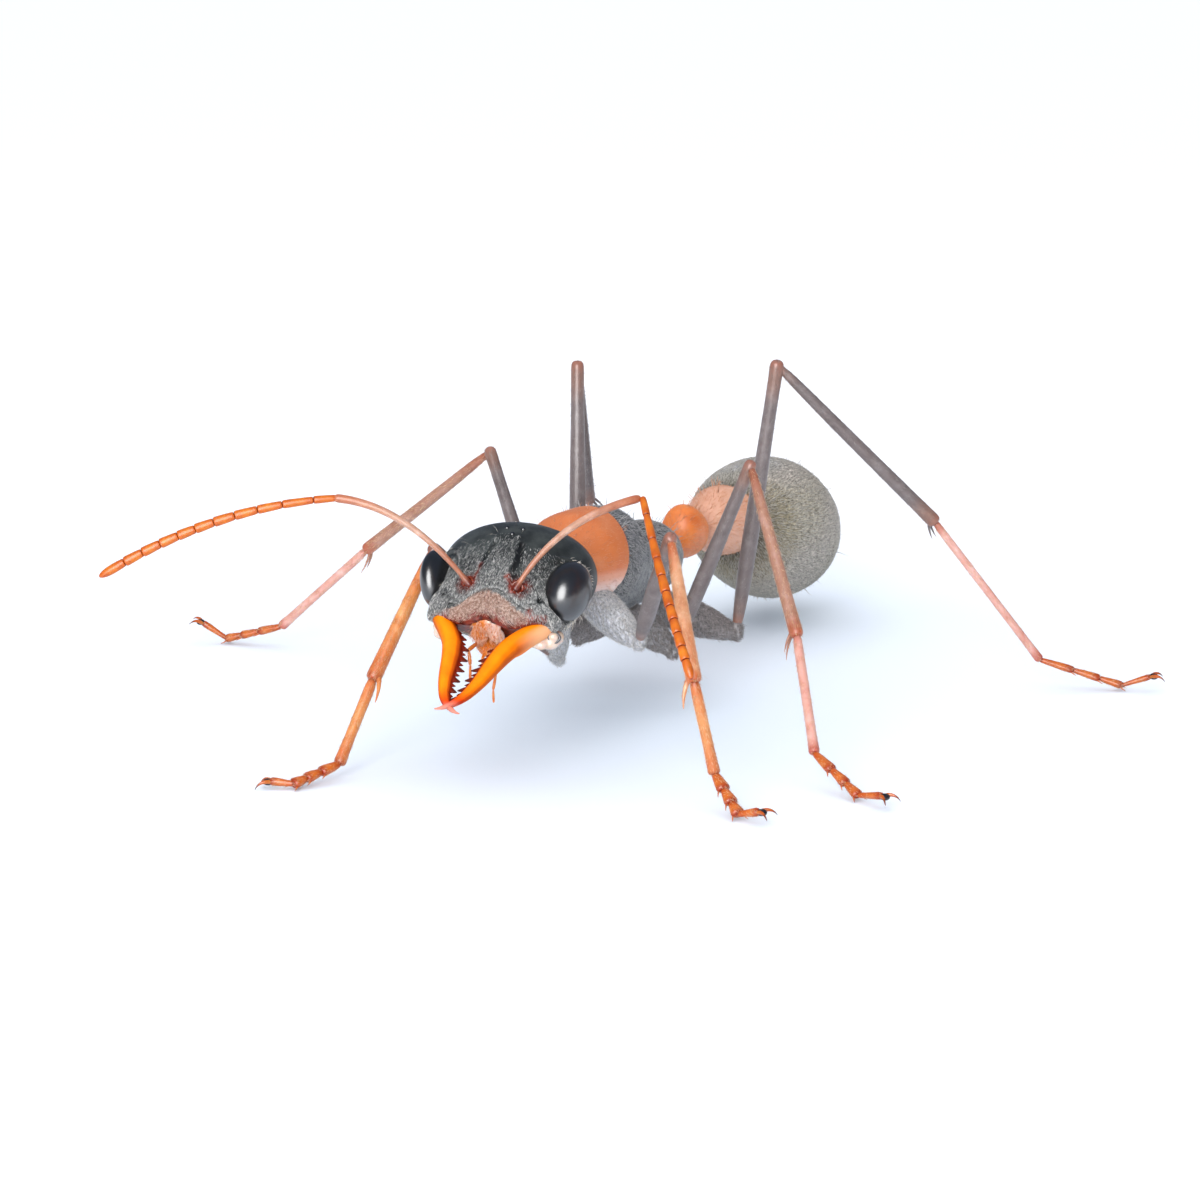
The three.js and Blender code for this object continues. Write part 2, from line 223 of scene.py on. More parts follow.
# One plate of a ringed body, between two leaning seams. A seam: y, height, lean in degrees.
# Its hind lip stands proud by lip and rolls under; its front edge dips under the plate before it.
def growShell(name, stations, front, back, sides=48, count=20, rounds=1, lip=0.0, dip=0.04):
    table = np.array(between(stations, 240))
    rows = list(np.linspace(0, 1, count))
    rings = [(-0.02, 0.25), (-0.02, 0.7)] if front else []
    if front:
        rings += [(-0.02, 0.93), (-0.02, 1 - dip)]
    for s in rows:
        fade = 1 - dip * max(0, 1 - s / 0.07) if front else 1
        edge = lip * max(0, (s - 0.75) / 0.25) ** 2 if back else 0
        rings.append((s, fade + edge))
    if back:
        rings += [(1.006, 0.992 + lip), (1.004, 0.975 + lip), (0.985, 0.94),
                  (0.985, 0.7), (0.985, 0.25)]
    tube = growTube(name, rings, sides, 0)
    s, radius = points(tube)[:, 2] / mm, np.hypot(*points(tube)[:, :2].T) / mm
    angle = np.arctan2(points(tube)[:, 1], points(tube)[:, 0])
    first, last = table[0, 0], table[-1, 0]
    z = np.full(len(s), table[:, 1].mean())
    for _ in range(12):
        start = front[0] + (z - front[1]) * math.tan(math.radians(front[2])) if front else first
        end = back[0] + (z - back[1]) * math.tan(math.radians(back[2])) if back else last
        y = start + s * (end - start)
        middle, half, top, low = (np.interp(y, table[:, 0], table[:, k]) for k in (1, 2, 3, 4))
        z = middle + (top - low) / 2 + radius * (top + low) / 2 * np.sin(angle)
    setPoints(tube, np.stack([radius * half * np.cos(angle), y, z], 1) * mm)
    faceOut(tube)
    smooth(tube, rounds)
    noteShape(tube, 1)
    return tube


# Stretches a piece about its own zero.
def stretchPiece(piece, size):
    choose(piece)
    bpy.ops.object.mode_set(mode="EDIT")
    bpy.ops.mesh.select_all(action="SELECT")
    bpy.ops.transform.resize(value=size, center_override=(0, 0, 0))
    bpy.ops.object.mode_set(mode="OBJECT")


def ball(name, size, segments=24):
    deselect()
    bpy.ops.mesh.primitive_uv_sphere_add(segments=segments, ring_count=segments * 2 // 3, radius=mm)
    piece = bpy.context.object
    piece.name = name
    stretchPiece(piece, size)
    return piece


def hornRing(radius, thick, around, across):
    deselect()
    bpy.ops.mesh.primitive_torus_add(major_segments=around, minor_segments=across,
                                     major_radius=radius * mm, minor_radius=thick * mm)
    return bpy.context.object


# The same spots on the other side of the middle when side is -1.
def flipped(path, side):
    return [(side * x, y, z) for x, y, z in path]


def easy(values, low, high):
    t = np.clip((values - low) / (high - low), 0, 1)
    return t * t * (3 - 2 * t)


# How far each place is from a line through some spots.
def farFrom(places, path):
    line = [np.array(p, float) for p in path]
    near = np.full(len(places), 1e9)
    for a, b in zip(line, line[1:] if len(line) > 1 else line):
        ab = b - a
        t = np.clip(((places - a) @ ab) / max(ab @ ab, 1e-12), 0, 1)
        near = np.minimum(near, np.linalg.norm(places - a - t[:, None] * ab, axis=1))
    return near


# 1 near a line through some spots, falling to 0 a little beyond reach.
def nearness(places, path, reach, edge=1.5):
    return np.clip(edge - farFrom(places, path) / reach, 0, 1)


# Selects the points within reach of a line through some spots, and moves them with a soft edge.
def stroke(piece, path, width, reach, push):
    near = farFrom(points(piece) / mm, path)
    picked = near <= max(width, near.min() * 1.0001)
    choose(piece)
    bpy.ops.object.mode_set(mode="EDIT")
    bpy.ops.mesh.select_all(action="DESELECT")
    bpy.ops.object.mode_set(mode="OBJECT")
    piece.data.vertices.foreach_set("select", picked)
    bpy.ops.object.mode_set(mode="EDIT")
    bpy.ops.transform.translate(value=[p * mm for p in push], use_proportional_edit=True,
                                proportional_edit_falloff="SMOOTH", proportional_size=reach * mm)
    bpy.ops.object.mode_set(mode="OBJECT")


# Raises a fine ridge, or cuts a groove, along each line: its spots, its half width and its height.
def engrave(piece, *lines):
    places, outward = points(piece) / mm, normals(piece)
    raised = np.zeros(len(places))
    for path, width, height in lines:
        raised += height * np.exp(-(farFrom(places, path) / width) ** 2)
    setPoints(piece, (places + outward * raised[:, None]) * mm)


# Turns an upright piece so that it runs from one place to another, its x side towards a third direction.
def layAlong(piece, start, end, towards):
    axis = (end - start).normalized()
    across = (towards - axis * towards.dot(axis)).normalized()
    other = axis.cross(across)
    matrix = Matrix((across, other, axis)).transposed().to_4x4()
    matrix.translation = start
    return placeBy(piece, matrix)


def shade(code):
    parts = [int(code[i:i + 2], 16) / 255 for i in (0, 2, 4)]
    return tuple(c / 12.92 if c <= 0.04045 else ((c + 0.055) / 1.055) ** 2.4 for c in parts) + (1,)


class Finish:
    def __init__(self, name, **look):
        self.material = bpy.data.materials.new(name)
        self.material.use_nodes = True
        self.tree = self.material.node_tree
        self.shader = self.tree.nodes["Principled BSDF"]
        for socket, value in look.items():
            self.shader.inputs[socket.replace("_", " ")].default_value = value

    def add(self, kind, **settings):
        node = self.tree.nodes.new("ShaderNode" + kind)
        for key, value in settings.items():
            if hasattr(node, key):
                setattr(node, key, value)
            else:
                node.inputs[key.replace("_", " ")].default_value = value
        return node

    def link(self, source, target):
        self.tree.links.new(source, target)

    def place(self, stretch=(1, 1, 1)):
        coords = self.add("TexCoord")
        mapping = self.add("Mapping")
        mapping.inputs["Scale"].default_value = stretch
        self.link(coords.outputs["Object"], mapping.inputs["Vector"])
        return mapping.outputs["Vector"]

    # size is the width of one blotch in mm
    def blotches(self, size, stretch=(1, 1, 1), detail=4.0, rough=0.55):
        noise = self.add("TexNoise", Scale=1 / (size * mm), Detail=detail, Roughness=rough)
        self.link(self.place(stretch), noise.inputs["Vector"])
        return noise.outputs["Fac"]

    def cells(self, size):
        voronoi = self.add("TexVoronoi", Scale=1 / (size * mm))
        self.link(self.place(), voronoi.inputs["Vector"])
        return voronoi.outputs["Distance"]

    def ramp(self, source, stops):
        node = self.add("ValToRGB")
        node.color_ramp.interpolation = "EASE"
        ramp = node.color_ramp.elements
        while len(ramp) < len(stops):
            ramp.new(0.5)
        for element, (at, colour) in zip(ramp, stops):
            element.position = at
            element.color = shade(colour) if isinstance(colour, str) else (colour, colour, colour, 1)
        self.link(source, node.inputs["Fac"])
        return node.outputs["Color"]

    def attribute(self, name):
        return self.add("Attribute", attribute_name=name).outputs["Fac"]

    def mix(self, amount, first, second, how="MIX"):
        node = self.add("Mix", data_type="RGBA", blend_type=how)
        for value, socket in ((amount, node.inputs[0]), (first, node.inputs[6]), (second, node.inputs[7])):
            if isinstance(value, str):
                socket.default_value = shade(value)
            elif isinstance(value, (int, float)):
                socket.default_value = value
            else:
                self.link(value, socket)
        return node.outputs[2]

    def colour(self, source):
        self.link(source, self.shader.inputs["Base Color"])

    def roughness(self, source, low, high):
        node = self.add("MapRange")
        node.inputs["To Min"].default_value = low
        node.inputs["To Max"].default_value = high
        self.link(source, node.inputs["Value"])
        self.link(node.outputs["Result"], self.shader.inputs["Roughness"])

    # each layer: a pattern, its height in mm, its strength
    def bump(self, *layers):
        normal = None
        for source, height, strength in layers:
            node = self.add("Bump", Strength=strength, Distance=height * mm)
            self.link(source, node.inputs["Height"])
            if normal:
                self.link(normal, node.inputs["Normal"])
            normal = node.outputs["Normal"]
        self.link(normal, self.shader.inputs["Normal"])


def paint(piece, finish):
    piece.data.materials.clear()
    piece.data.materials.append(finish.material)


def finishPiece(piece, finish, slot, *nodes):
    paint(piece, finish)
    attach(piece, "root")
    if nodes:
        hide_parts(*nodes)
        piece.name = nodes[0] + "_shell"
    return piece


def headFinish():
    f = Finish("blackHead", Roughness=0.4, Specular_IOR_Level=0.45)
    base = f.ramp(f.blotches(0.25), [(0.3, "1c1f1e"), (0.7, "373b39")])
    # the short pile between the longer hairs, seen as fine streaks down the face
    streaks = f.blotches(0.016, stretch=(1, 0.15, 0.15), detail=2, rough=0.6)
    ashen = f.ramp(streaks, [(0.36, "363737"), (0.5, "686866"), (0.64, "9c9a94")])
    rosy = f.ramp(streaks, [(0.36, "52281a"), (0.5, "8c5c46"), (0.64, "b8907c")])
    base = f.mix(f.ramp(f.attribute("pile"), [(0.05, 0.0), (0.9, 0.85)]), base, ashen)
    base = f.mix(f.ramp(f.attribute("shield"), [(0.05, 0.0), (0.9, 0.9)]), base, rosy)
    warm = f.ramp(f.attribute("warm"), [(0.05, 0.0), (0.85, 1.0)])
    rusty = f.ramp(f.blotches(0.1), [(0.3, "2c0a05"), (0.6, "74240f"), (0.85, "96401f")])
    # the grooves and pits are bare of pile and painted near black, darker than the bare horn: painted shade
    # in the hollows
    grooves = f.ramp(f.attribute("dark"), [(0.1, 0.0), (0.8, 0.9)])
    f.colour(f.mix(grooves, f.mix(warm, base, rusty), "0a0b0b"))
    f.roughness(f.blotches(0.05), 0.28, 0.5)
    f.bump((f.cells(0.024), 0.004, 0.4), (streaks, 0.006, 0.4))
    return f


def eyeFinish():
    f = Finish("glossyEye", Roughness=0.29, IOR=1.95)
    f.colour(f.ramp(f.blotches(0.3), [(0.3, "040405"), (0.8, "0d0b10")]))
    f.bump((f.cells(0.014), 0.0012, 0.25))
    return f


def jawFinish():
    f = Finish("jawHorn", Roughness=0.55, Specular_IOR_Level=0.07, Coat_Weight=0.02, Coat_Roughness=0.15,
               Subsurface_Weight=0.1, Subsurface_Scale=0.12 * mm)
    f.shader.inputs["Subsurface Radius"].default_value = (1.0, 0.4, 0.08)
    # across the blade: the dark red of the toothed inner edge is the horn's own; the darker orange at the
    # outer edge is painted shade where the blade rounds away
    across = f.ramp(f.attribute("across"),
                    [(0.0, "4a160a"), (0.12, "621a08"), (0.25, "7a1c06"), (0.34, "c05004"),
                     (0.46, "ee7e00"), (0.78, "f28800"), (0.92, "e67602"), (1.0, "b85208")])
    tips = f.ramp(f.attribute("reach"),
                  [(0.0, "7a2410"), (0.05, "e8c8a8"), (0.12, "ffffff"), (0.78, "ffffff"), (0.93, "d87a60"),
                   (1.0, "b86a66")])
    mottle = f.ramp(f.blotches(0.35), [(0.3, "ece0d0"), (0.7, "ffffff")])
    root = f.mix(1.0, f.ramp(f.attribute("paleRoot"), [(0.1, 0.0), (0.75, 0.95)]),
                 f.ramp(f.attribute("across"), [(0.72, 0.0), (0.98, 1.0)]), "MULTIPLY")
    horn = f.mix(1.0, f.mix(1.0, across, tips, "MULTIPLY"), mottle, "MULTIPLY")
    horn = f.mix(f.ramp(f.attribute("reach"), [(0.9, 0.0), (0.99, 0.6)]), horn, "d89a88")
    f.colour(f.mix(root, horn, "e0a578"))
    f.bump((f.blotches(0.05, stretch=(1, 0.2, 1)), 0.003, 0.4))
    return f


# fade: the tones the lower flank turns to
def hornFinish(name, tones, rough=0.34, mottle=0.18, clear=0.2, along=None, gloss=0.15, fade=None):
    f = Finish(name, Roughness=rough, Specular_IOR_Level=0.45, Coat_Weight=gloss, Coat_Roughness=0.2,
               Subsurface_Weight=clear, Subsurface_Scale=0.1 * mm)
    f.shader.inputs["Subsurface Radius"].default_value = (1.0, 0.5, 0.25)
    stops = [(0.25 + 0.5 * i / (len(tones) - 1), tone) for i, tone in enumerate(tones)]
    colour = f.ramp(f.blotches(mottle), stops)
    if along:
        colour = f.mix(1.0, colour, f.ramp(f.attribute("along"), along), "MULTIPLY")
    if fade:
        colour = f.mix(f.ramp(f.attribute("low"), [(0.05, 0.0), (0.5, 0.9)]), colour,
                       f.ramp(f.attribute("low"), fade))
    f.colour(colour)
    f.roughness(f.blotches(0.06), rough - 0.08, rough + 0.12)
    f.bump((f.cells(0.02), 0.003, 0.35), (f.blotches(0.08, detail=2), 0.006, 0.35))
    return f


# Dark horn under a close, fine pile that runs in streaks.
def pileFinish(name, tones, tints, stretch, along=None, fade=None):
    f = Finish(name, Roughness=0.5, Specular_IOR_Level=0.4)
    streaks = f.blotches(0.03, stretch=stretch, detail=3, rough=0.7)
    fine = f.ramp(streaks, [(0.34, tones[0]), (0.5, tones[1]), (0.66, tones[2])])
    broad = f.ramp(f.blotches(1.6, detail=0), [(0.36 + 0.14 * i, tint) for i, tint in enumerate(tints)])
    colour = f.mix(1.0, fine, broad, "MULTIPLY")
    if along:
        colour = f.mix(1.0, colour, f.ramp(f.attribute("along"), along), "MULTIPLY")
    if fade:
        colour = f.mix(1.0, colour, f.ramp(f.attribute("low"), fade), "MULTIPLY")
        colour = f.mix(f.ramp(f.attribute("dark"), [(0.1, 0.0), (0.9, 0.85)]), colour, "121314")
    f.colour(colour)
    f.bump((f.cells(0.03), 0.004, 0.3), (streaks, 0.006, 0.35))
    return f


def hairFinish(name, tones, rough=0.45):
    f = Finish(name, Roughness=rough, Specular_IOR_Level=0.5)
    f.colour(f.ramp(f.blotches(0.035, detail=1), [(0.3, tones[0]), (0.7, tones[1])]))
    return f


finishes = {
    "head": headFinish(),
    "eye": eyeFinish(),
    "jaw": jawFinish(),
    "scape": hornFinish("scapeHorn", ["9e725a", "b08872", "c6a490"], clear=0.4,
                        along=[(0.0, "5a1808"), (0.06, "8a3a22"), (0.12, "e0b8a0"), (0.5, "ffffff"),
                               (1.0, "f4c0a0")]),
    "funiculus": hornFinish("whipHorn", ["a84e00", "bc6000", "cc7404"], clear=0.15, gloss=0.05,
                            along=[(0.0, "a85a30"), (0.04, "f0d8c8"), (0.5, "ffffff"), (0.95, "f4e0d0"),
                                   (1.0, "8a3c20")]),
    "mouth": hornFinish("mouthHorn", ["b45814", "ca7024", "dc8c3c"], clear=0.35, mottle=0.08,
                        fade=[(0.0, "c86c34"), (1.0, "dcb8a8")]),
    # the collar's lower flank fades to pale pink: its own pale pile, made paler still as painted light
    # against the shade there
    "redPlate": hornFinish("redPlate", ["bc5a24", "c86e38", "d48454"], rough=0.4, mottle=0.5, clear=0.12,
                           fade=[(0.15, "d0703c"), (0.5, "dc9c80"), (1.0, "f0dcd4")]),
    "nodePlate": hornFinish("nodePlate", ["cc6426", "dc7834", "e69254"], rough=0.4, mottle=0.4, clear=0.12),
    "paleNode": hornFinish("paleNodePlate", ["c48c70", "d49e82", "e0b498"], rough=0.42, mottle=0.5,
                           clear=0.15),
    "darkPlate": pileFinish("darkPlate", ("54565a", "828384", "a8a9a8"), ("d0ccc8", "ffffff", "e8ecf0"),
                            (1, 0.25, 0.25), fade=[(0.0, "acacae"), (0.5, "dcdcde"), (1.0, "ffffff")]),
    "gaster": pileFinish("gasterPlate", ("64625c", "a6a29c", "dad6d0"), ("ebe4d0", "f6eee6", "e6e9ee"),
                         (1, 0.25, 1), [(0.02, "5c543c"), (0.09, "96907a"), (0.2, "dcd8ca"),
                                        (0.35, "ffffff")]),
    "darkLeg": hornFinish("darkLeg", ["7c6c66", "8e7e78", "a0928c"], clear=0.05,
                          along=[(0.0, "ffc8b0"), (0.07, "d0c4c0"), (0.14, "c4c6ca"), (0.82, "c4c6ca"),
                                 (0.94, "e0c0b0"), (1.0, "ffc0a8")]),
    "shinBack": hornFinish("shinBackHorn", ["8e6048", "a07460", "ae8676"], clear=0.2,
                           along=[(0.0, "c08070"), (0.07, "f0d0c0"), (0.3, "ffffff"), (0.85, "ffffff"),
                                  (1.0, "ffc0a0")]),
    "heelBack": hornFinish("heelBackHorn", ["c08272", "ce9a8c", "d8aea2"], clear=0.3,
                           along=[(0.0, "d09880"), (0.08, "ffffff"), (0.88, "ffffff"), (1.0, "d89080")]),
    # the front left shin is paler than the front right one, which wears the heel's tones: painted light for
    # the bright gloss along it
    "shin": hornFinish("shinHighlightHorn", ["bc7e52", "d09870", "e4be9c"], clear=0.3, gloss=0.4,
                       along=[(0.0, "8a4a34"), (0.07, "d8a890"), (0.3, "ffffff"), (0.9, "f8dcc8"),
                              (1.0, "e0a070")]),
    "heel": hornFinish("heelHorn", ["bc7034", "cc864c", "da9e68"], clear=0.35,
                       along=[(0.0, "b06a48"), (0.08, "f0d0bc"), (0.5, "ffffff"), (0.92, "ecc8b0"),
                              (1.0, "c08060")]),
    "foot": hornFinish("footHorn", ["a84e12", "bc601c", "ca742e"], clear=0.3,
                       along=[(0.0, "b07050"), (0.15, "f0d4c0"), (0.6, "ffffff"), (1.0, "c88058")]),
    "hook": hornFinish("hookHorn", ["a4541c", "b86a28", "c88042"], rough=0.22, clear=0.3,
                       along=[(0.0, "ffffff"), (0.55, "f0c8a0"), (1.0, "5a2a1a")]),
    "coxa": pileFinish("coxaHorn", ("88888a", "bababc", "dededf"), ("e4e0e0", "ffffff", "f4f4f8"),
                       (1, 1, 0.3)),
    "coxaBack": pileFinish("coxaBackHorn", ("626060", "8e8a8a", "b4b0ae"), ("dcd4d0", "f4f0f0", "ffffff"),
                           (1, 1, 0.3)),
    "claw": hornFinish("clawHorn", ["0e0c10", "1c1a20", "2a2426"], rough=0.25, clear=0.1),
    "membrane": hornFinish("softMembrane", ["b89c88", "ccb4a2", "dccabc"], rough=0.18, clear=0.5, gloss=0.5),
    "knob": hornFinish("hingeKnob", ["2e2c2e", "4a4648", "6c6664"], rough=0.2, mottle=0.1, clear=0.1,
                       gloss=0.5),
    "silver": hairFinish("silverPile", ("a8a8a6", "e4e0da")),
    "trunkHair": hairFinish("trunkPile", ("8c8c8c", "bcbab6")),
    # the face pile, grey to near white in patches: the pile's own silver, and the near-white patches are
    # also painted glints
    "steel": hairFinish("steelPileAndGlints", ("5e5f60", "dcdad4"), rough=0.36),
    "rosy": hairFinish("rosyPile", ("96705c", "d8bcac")),
    "gold": hairFinish("goldPile", ("a09b90", "ccc6ba")),
    "socket": hornFinish("socketHorn", ["3a1006", "62200c", "9a4424"], rough=0.2, mottle=0.04, clear=0.05,
                         gloss=0.6),
    "pale": hairFinish("paleHair", ("d8ccb8", "f4eee4")),
    "ash": hairFinish("ashHair", ("6c6460", "9c948e")),
    "lipHair": hairFinish("lipHair", ("d8783c", "f0ccb0")),
    "amberHair": hairFinish("amberHair", ("c08c5c", "e8c8a0")),
    "peachHair": hairFinish("peachHair", ("c47c4c", "dca27c")),
}
print("finishes made")

head = {
    "place": (0.08, -1.06, 2.63), "tilt": 11.4, "roll": 1.1, "turn": 9.7,
    # y, height of the middle, half width, top, bottom
    "stations": [(-1.2, 0.05, 0.34, 0.06, 0.05), (-1.15, 0.04, 0.58, 0.17, 0.09),
                 (-1.02, 0.03, 0.8, 0.32, 0.2), (-0.82, 0.0, 0.96, 0.5, 0.42), (-0.4, 0.0, 1.05, 0.73, 0.68),
                 (0.1, 0.0, 1.13, 0.87, 0.74), (0.5, 0.0, 1.14, 0.84, 0.7), (0.85, 0.0, 0.97, 0.66, 0.55),
                 (1.05, 0.0, 0.66, 0.38, 0.36), (1.13, 0.0, 0.26, 0.14, 0.14)],
    "eye": {1: {"place": (0.965, -0.4, 0.235), "radii": (0.335, 0.495, 0.425)},
            -1: {"place": (-0.99, -0.34, 0.19), "radii": (0.225, 0.45, 0.465)}},
    "eyeLean": 11,
    "socket": (0.36, -0.8, 0.41),
    "socketRing": {"radius": 0.076, "thick": 0.023, "size": (1, 1.22, 1.3), "lean": 50, "turn": 14},
    "pit": (0.69, -0.88, 0.26),
    "fleck": (0.588, -1.045, 0.17),
    # pushes of the skin, the same on both sides: spots, width, reach and way
    "pushes": [
        # the hollow behind each eye
        ([(1.065, -0.4, 0.235)], 0.2, 0.44, (-0.07, 0, 0)),
        # brow lobes over the feeler sockets, and the hollows outside them
        ([(0.22, -0.78, 0.53), (0.2, -0.5, 0.7)], 0.03, 0.16, (0.01, -0.03, 0.05)),
        ([(0.4, -0.78, 0.42), (0.4, -0.55, 0.6)], 0.05, 0.2, (0.01, 0.06, -0.06)),
        # cheek corner above the jaw hinge, and the swelling under the eye
        ([(0.88, -0.92, -0.04)], 0.06, 0.24, (0.04, -0.06, -0.02)),
        ([(0.95, -0.45, -0.35)], 0.1, 0.3, (0.03, 0, -0.02)),
        # the cheek corner comes down over the root of the jaw
        ([(0.86, -0.98, 0.02), (0.97, -0.82, -0.1)], 0.05, 0.16, (0.01, -0.07, -0.04)),
        # lobes of the shield's front edge
        ([(0.33, -1.19, 0.04)], 0.06, 0.2, (0, -0.05, -0.03)),
    ],
    # the shield above the mouth swells, and its front edge is deeply notched between the lobes
    "shieldPushes": [([(0, -1.02, 0.32)], 0.14, 0.4, (0, -0.06, 0.05)),
                     ([(-0.05, -1.22, 0.03), (0.05, -1.22, 0.03)], 0.07, 0.2, (0, 0.055, 0.1))],
    # half width and height of each kind of line drawn on the face
    "strokes": {"pit": (0.034, -0.06), "ridge": (0.03, 0.03), "groove": (0.03, -0.055),
                "carina": (0.024, 0.025), "socket": (0.075, -0.07), "socketRing": (0.025, 0.022),
                "pitSeam": (0.02, -0.02), "cheekEdge": (0.022, 0.03), "cheekFold": (0.03, -0.025),
                "browEdge": (0.022, -0.025), "furrow": (0.018, -0.014), "notch": (0.032, 0.035),
                "underNotch": (0.03, -0.03)},
    "pitSeam": [(0.5, -0.98, 0.27), (0.62, -0.93, 0.26)],
    "cheekEdge": [(0.42, -1.2, 0.0), (0.62, -1.1, 0.04), (0.8, -1.0, 0.02)],
    "cheekFold": [(0.44, -1.15, 0.07), (0.62, -1.06, 0.12), (0.78, -0.97, 0.1)],
    # fine furrows down the face: x, and how far forward each starts and ends
    "furrows": [(0.05, 0.55, 0.9), (-0.07, 0.35, 0.9), (0.48, 0.3, 0.8), (-0.48, 0.35, 0.8),
                (0.6, 0.2, 0.75), (-0.6, 0.25, 0.75), (0.72, 0.3, 0.7)],
    # the ridge beside each feeler socket, from the brow down
    "ridge": [(0.16, 0.0, 0.85), (0.2, -0.22, 0.81), (0.235, -0.45, 0.74), (0.245, -0.62, 0.64),
              (0.225, -0.76, 0.54), (0.2, -0.86, 0.48)],
    # the groove, painted dark as shade, and the red carina between each socket and the middle of the face
    "groove": {1: [(0.24, -0.15, 0.83), (0.25, -0.3, 0.79), (0.26, -0.48, 0.71), (0.265, -0.6, 0.63),
                   (0.27, -0.7, 0.54)],
               -1: [(-0.16, -0.15, 0.82), (-0.19, -0.3, 0.79), (-0.22, -0.45, 0.74), (-0.24, -0.58, 0.66),
                    (-0.25, -0.68, 0.57)]},
    "grooveReach": {1: 0.062, -1: 0.034},
    "carina": {1: [(0.19, -0.74, 0.53), (0.24, -0.82, 0.43), (0.26, -0.87, 0.31)],
               -1: [(-0.25, -0.58, 0.65), (-0.27, -0.68, 0.57), (-0.29, -0.77, 0.48), (-0.31, -0.85, 0.38)]},
    "browEdge": [(-0.56, -1.02, 0.2), (-0.41, -1.07, 0.21), (-0.28, -1.03, 0.34), (-0.14, -0.98, 0.44),
                 (0.0, -0.95, 0.47), (0.14, -0.95, 0.45), (0.28, -0.98, 0.38), (0.41, -1.02, 0.27),
                 (0.56, -1.02, 0.2)],
    "notch": [(-0.62, -1.1, 0.06), (-0.48, -1.15, 0.04), (-0.35, -1.2, 0.05), (-0.24, -1.2, 0.1),
              (-0.16, -1.19, 0.15), (-0.03, -1.17, 0.19), (0.08, -1.18, 0.17), (0.15, -1.19, 0.14),
              (0.23, -1.2, 0.11), (0.33, -1.2, 0.05), (0.48, -1.15, 0.06), (0.64, -1.08, 0.08),
              (0.78, -1.01, 0.06)],
    "ocelli": [(0.03, 0.05), (0.14, 0.22), (-0.1, 0.22)],
}


def headMatrix():
    low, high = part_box("head")
    place = onBody(*head["place"])
    if (place - (low + high) / 2).length > 0.3 * mm:
        raise SystemExit("the head is not where its solid is")
    angles = ((head["turn"], "Z"), (head["tilt"], "X"), (head["roll"], "Y"))
    turn, tilt, roll = (Matrix.Rotation(math.radians(angle), 4, axis) for angle, axis in angles)
    return Matrix.Translation(place) @ turn @ tilt @ roll


headAt = headMatrix()


# Places in the head's own frame, in mm.
def inHead(places):
    turned = np.array(headAt.inverted())
    return (places @ turned[:3, :3].T + turned[:3, 3]) / mm


# How far out each place is from the middle of an eye, 1 at its edge.
def eyeReach(places, side):
    eye = head["eye"][side]
    gap = (places - eye["place"]) / (0.6, eye["radii"][1], eye["radii"][2])
    return np.linalg.norm(gap, axis=1)


# A line laid onto the skin it marks.
def onSkin(piece, path):
    places = points(piece) / mm
    shares = (0, 0.25, 0.5, 0.75)
    fine = [np.add(a, np.subtract(b, a) * share) for a, b in zip(path, path[1:]) for share in shares]
    fine.append(path[-1])
    return [tuple(places[np.argmin(np.linalg.norm(places - spot, axis=1))]) for spot in fine]


# A ring of spots round a feeler socket.
def socketRing(side):
    sx, sy, sz = head["socket"]
    angles = np.linspace(0, 2 * math.pi, 13)
    return [(side * sx + 0.105 * math.cos(a), sy - 0.03 * math.sin(a), sz + 0.09 * math.sin(a))
            for a in angles]


# Every line drawn on the face: its spots, and its half width and height.
def faceLines(skull):
    kinds = head["strokes"]
    lines = [(pit, *kinds["pit"]) for pit in head["pits"]]
    for side in (1, -1):
        lines += [(onSkin(skull, flipped(head["ridge"], side)), *kinds["ridge"]),
                  (head["groove"][side], *kinds["groove"]), (head["carina"][side], *kinds["carina"]),
                  (flipped([head["socket"]], side), *kinds["socket"]),
                  (socketRing(side), *kinds["socketRing"]),
                  (onSkin(skull, flipped(head["pitSeam"], side)), *kinds["pitSeam"]),
                  (flipped(head["cheekEdge"], side), *kinds["cheekEdge"]),
                  (flipped(head["cheekFold"], side), *kinds["cheekFold"])]
    lines += [(onSkin(skull, head["browEdge"]), *kinds["browEdge"])]
    for x, back, front in head["furrows"]:
        furrow = [(x, -back, 0.83 - 0.12 * back), (x * 1.02, -(back + front) / 2, 0.62),
                  (x * 1.05, -front, 0.46)]
        lines += [(onSkin(skull, furrow), *kinds["furrow"])]
    # the rolled rim of the notch, and the fold above it
    above = [(x * 0.94, y + 0.03, z + 0.085) for x, y, z in head["notch"][2:10]]
    return lines + [(head["notch"], *kinds["notch"]), (above, *kinds["underNotch"])]


# The raised rim round each eye and the groove inside it.
def raiseRims(skull):
    places, outward = points(skull) / mm, normals(skull)
    rim = np.zeros(len(places))
    for side in (1, -1):
        reach = eyeReach(places, side)
        height = 0.022 * np.exp(-((reach - 1.1) / 0.05) ** 2) - 0.03 * np.exp(-((reach - 0.97) / 0.05) ** 2)
        rim += (np.abs(places[:, 0] - side) < 0.4) * height
    setPoints(skull, (places + outward * rim[:, None]) * mm)


def buildSkull():
    skull = growPlate("head", head["stations"], sides=64, count=52, rounds=0)
    for side in (1, -1):
        for path, width, reach, push in head["pushes"]:
            stroke(skull, flipped(path, side), width, reach, flipped([push], side)[0])
    for push in head["shieldPushes"]:
        stroke(skull, *push)
    smooth(skull, 2)
    for key in ("groove", "carina"):
        head[key] = {side: onSkin(skull, path) for side, path in head[key].items()}
    head["pits"] = [onSkin(skull, flipped([head["pit"]], side)) for side in (1, -1)]
    engrave(skull, *faceLines(skull))
    raiseRims(skull)
    noteWarmth(skull)
    noteShape(skull, 1)
    return finishPiece(placeBy(skull, headAt), finishes["head"], "head_cuticle", "head")


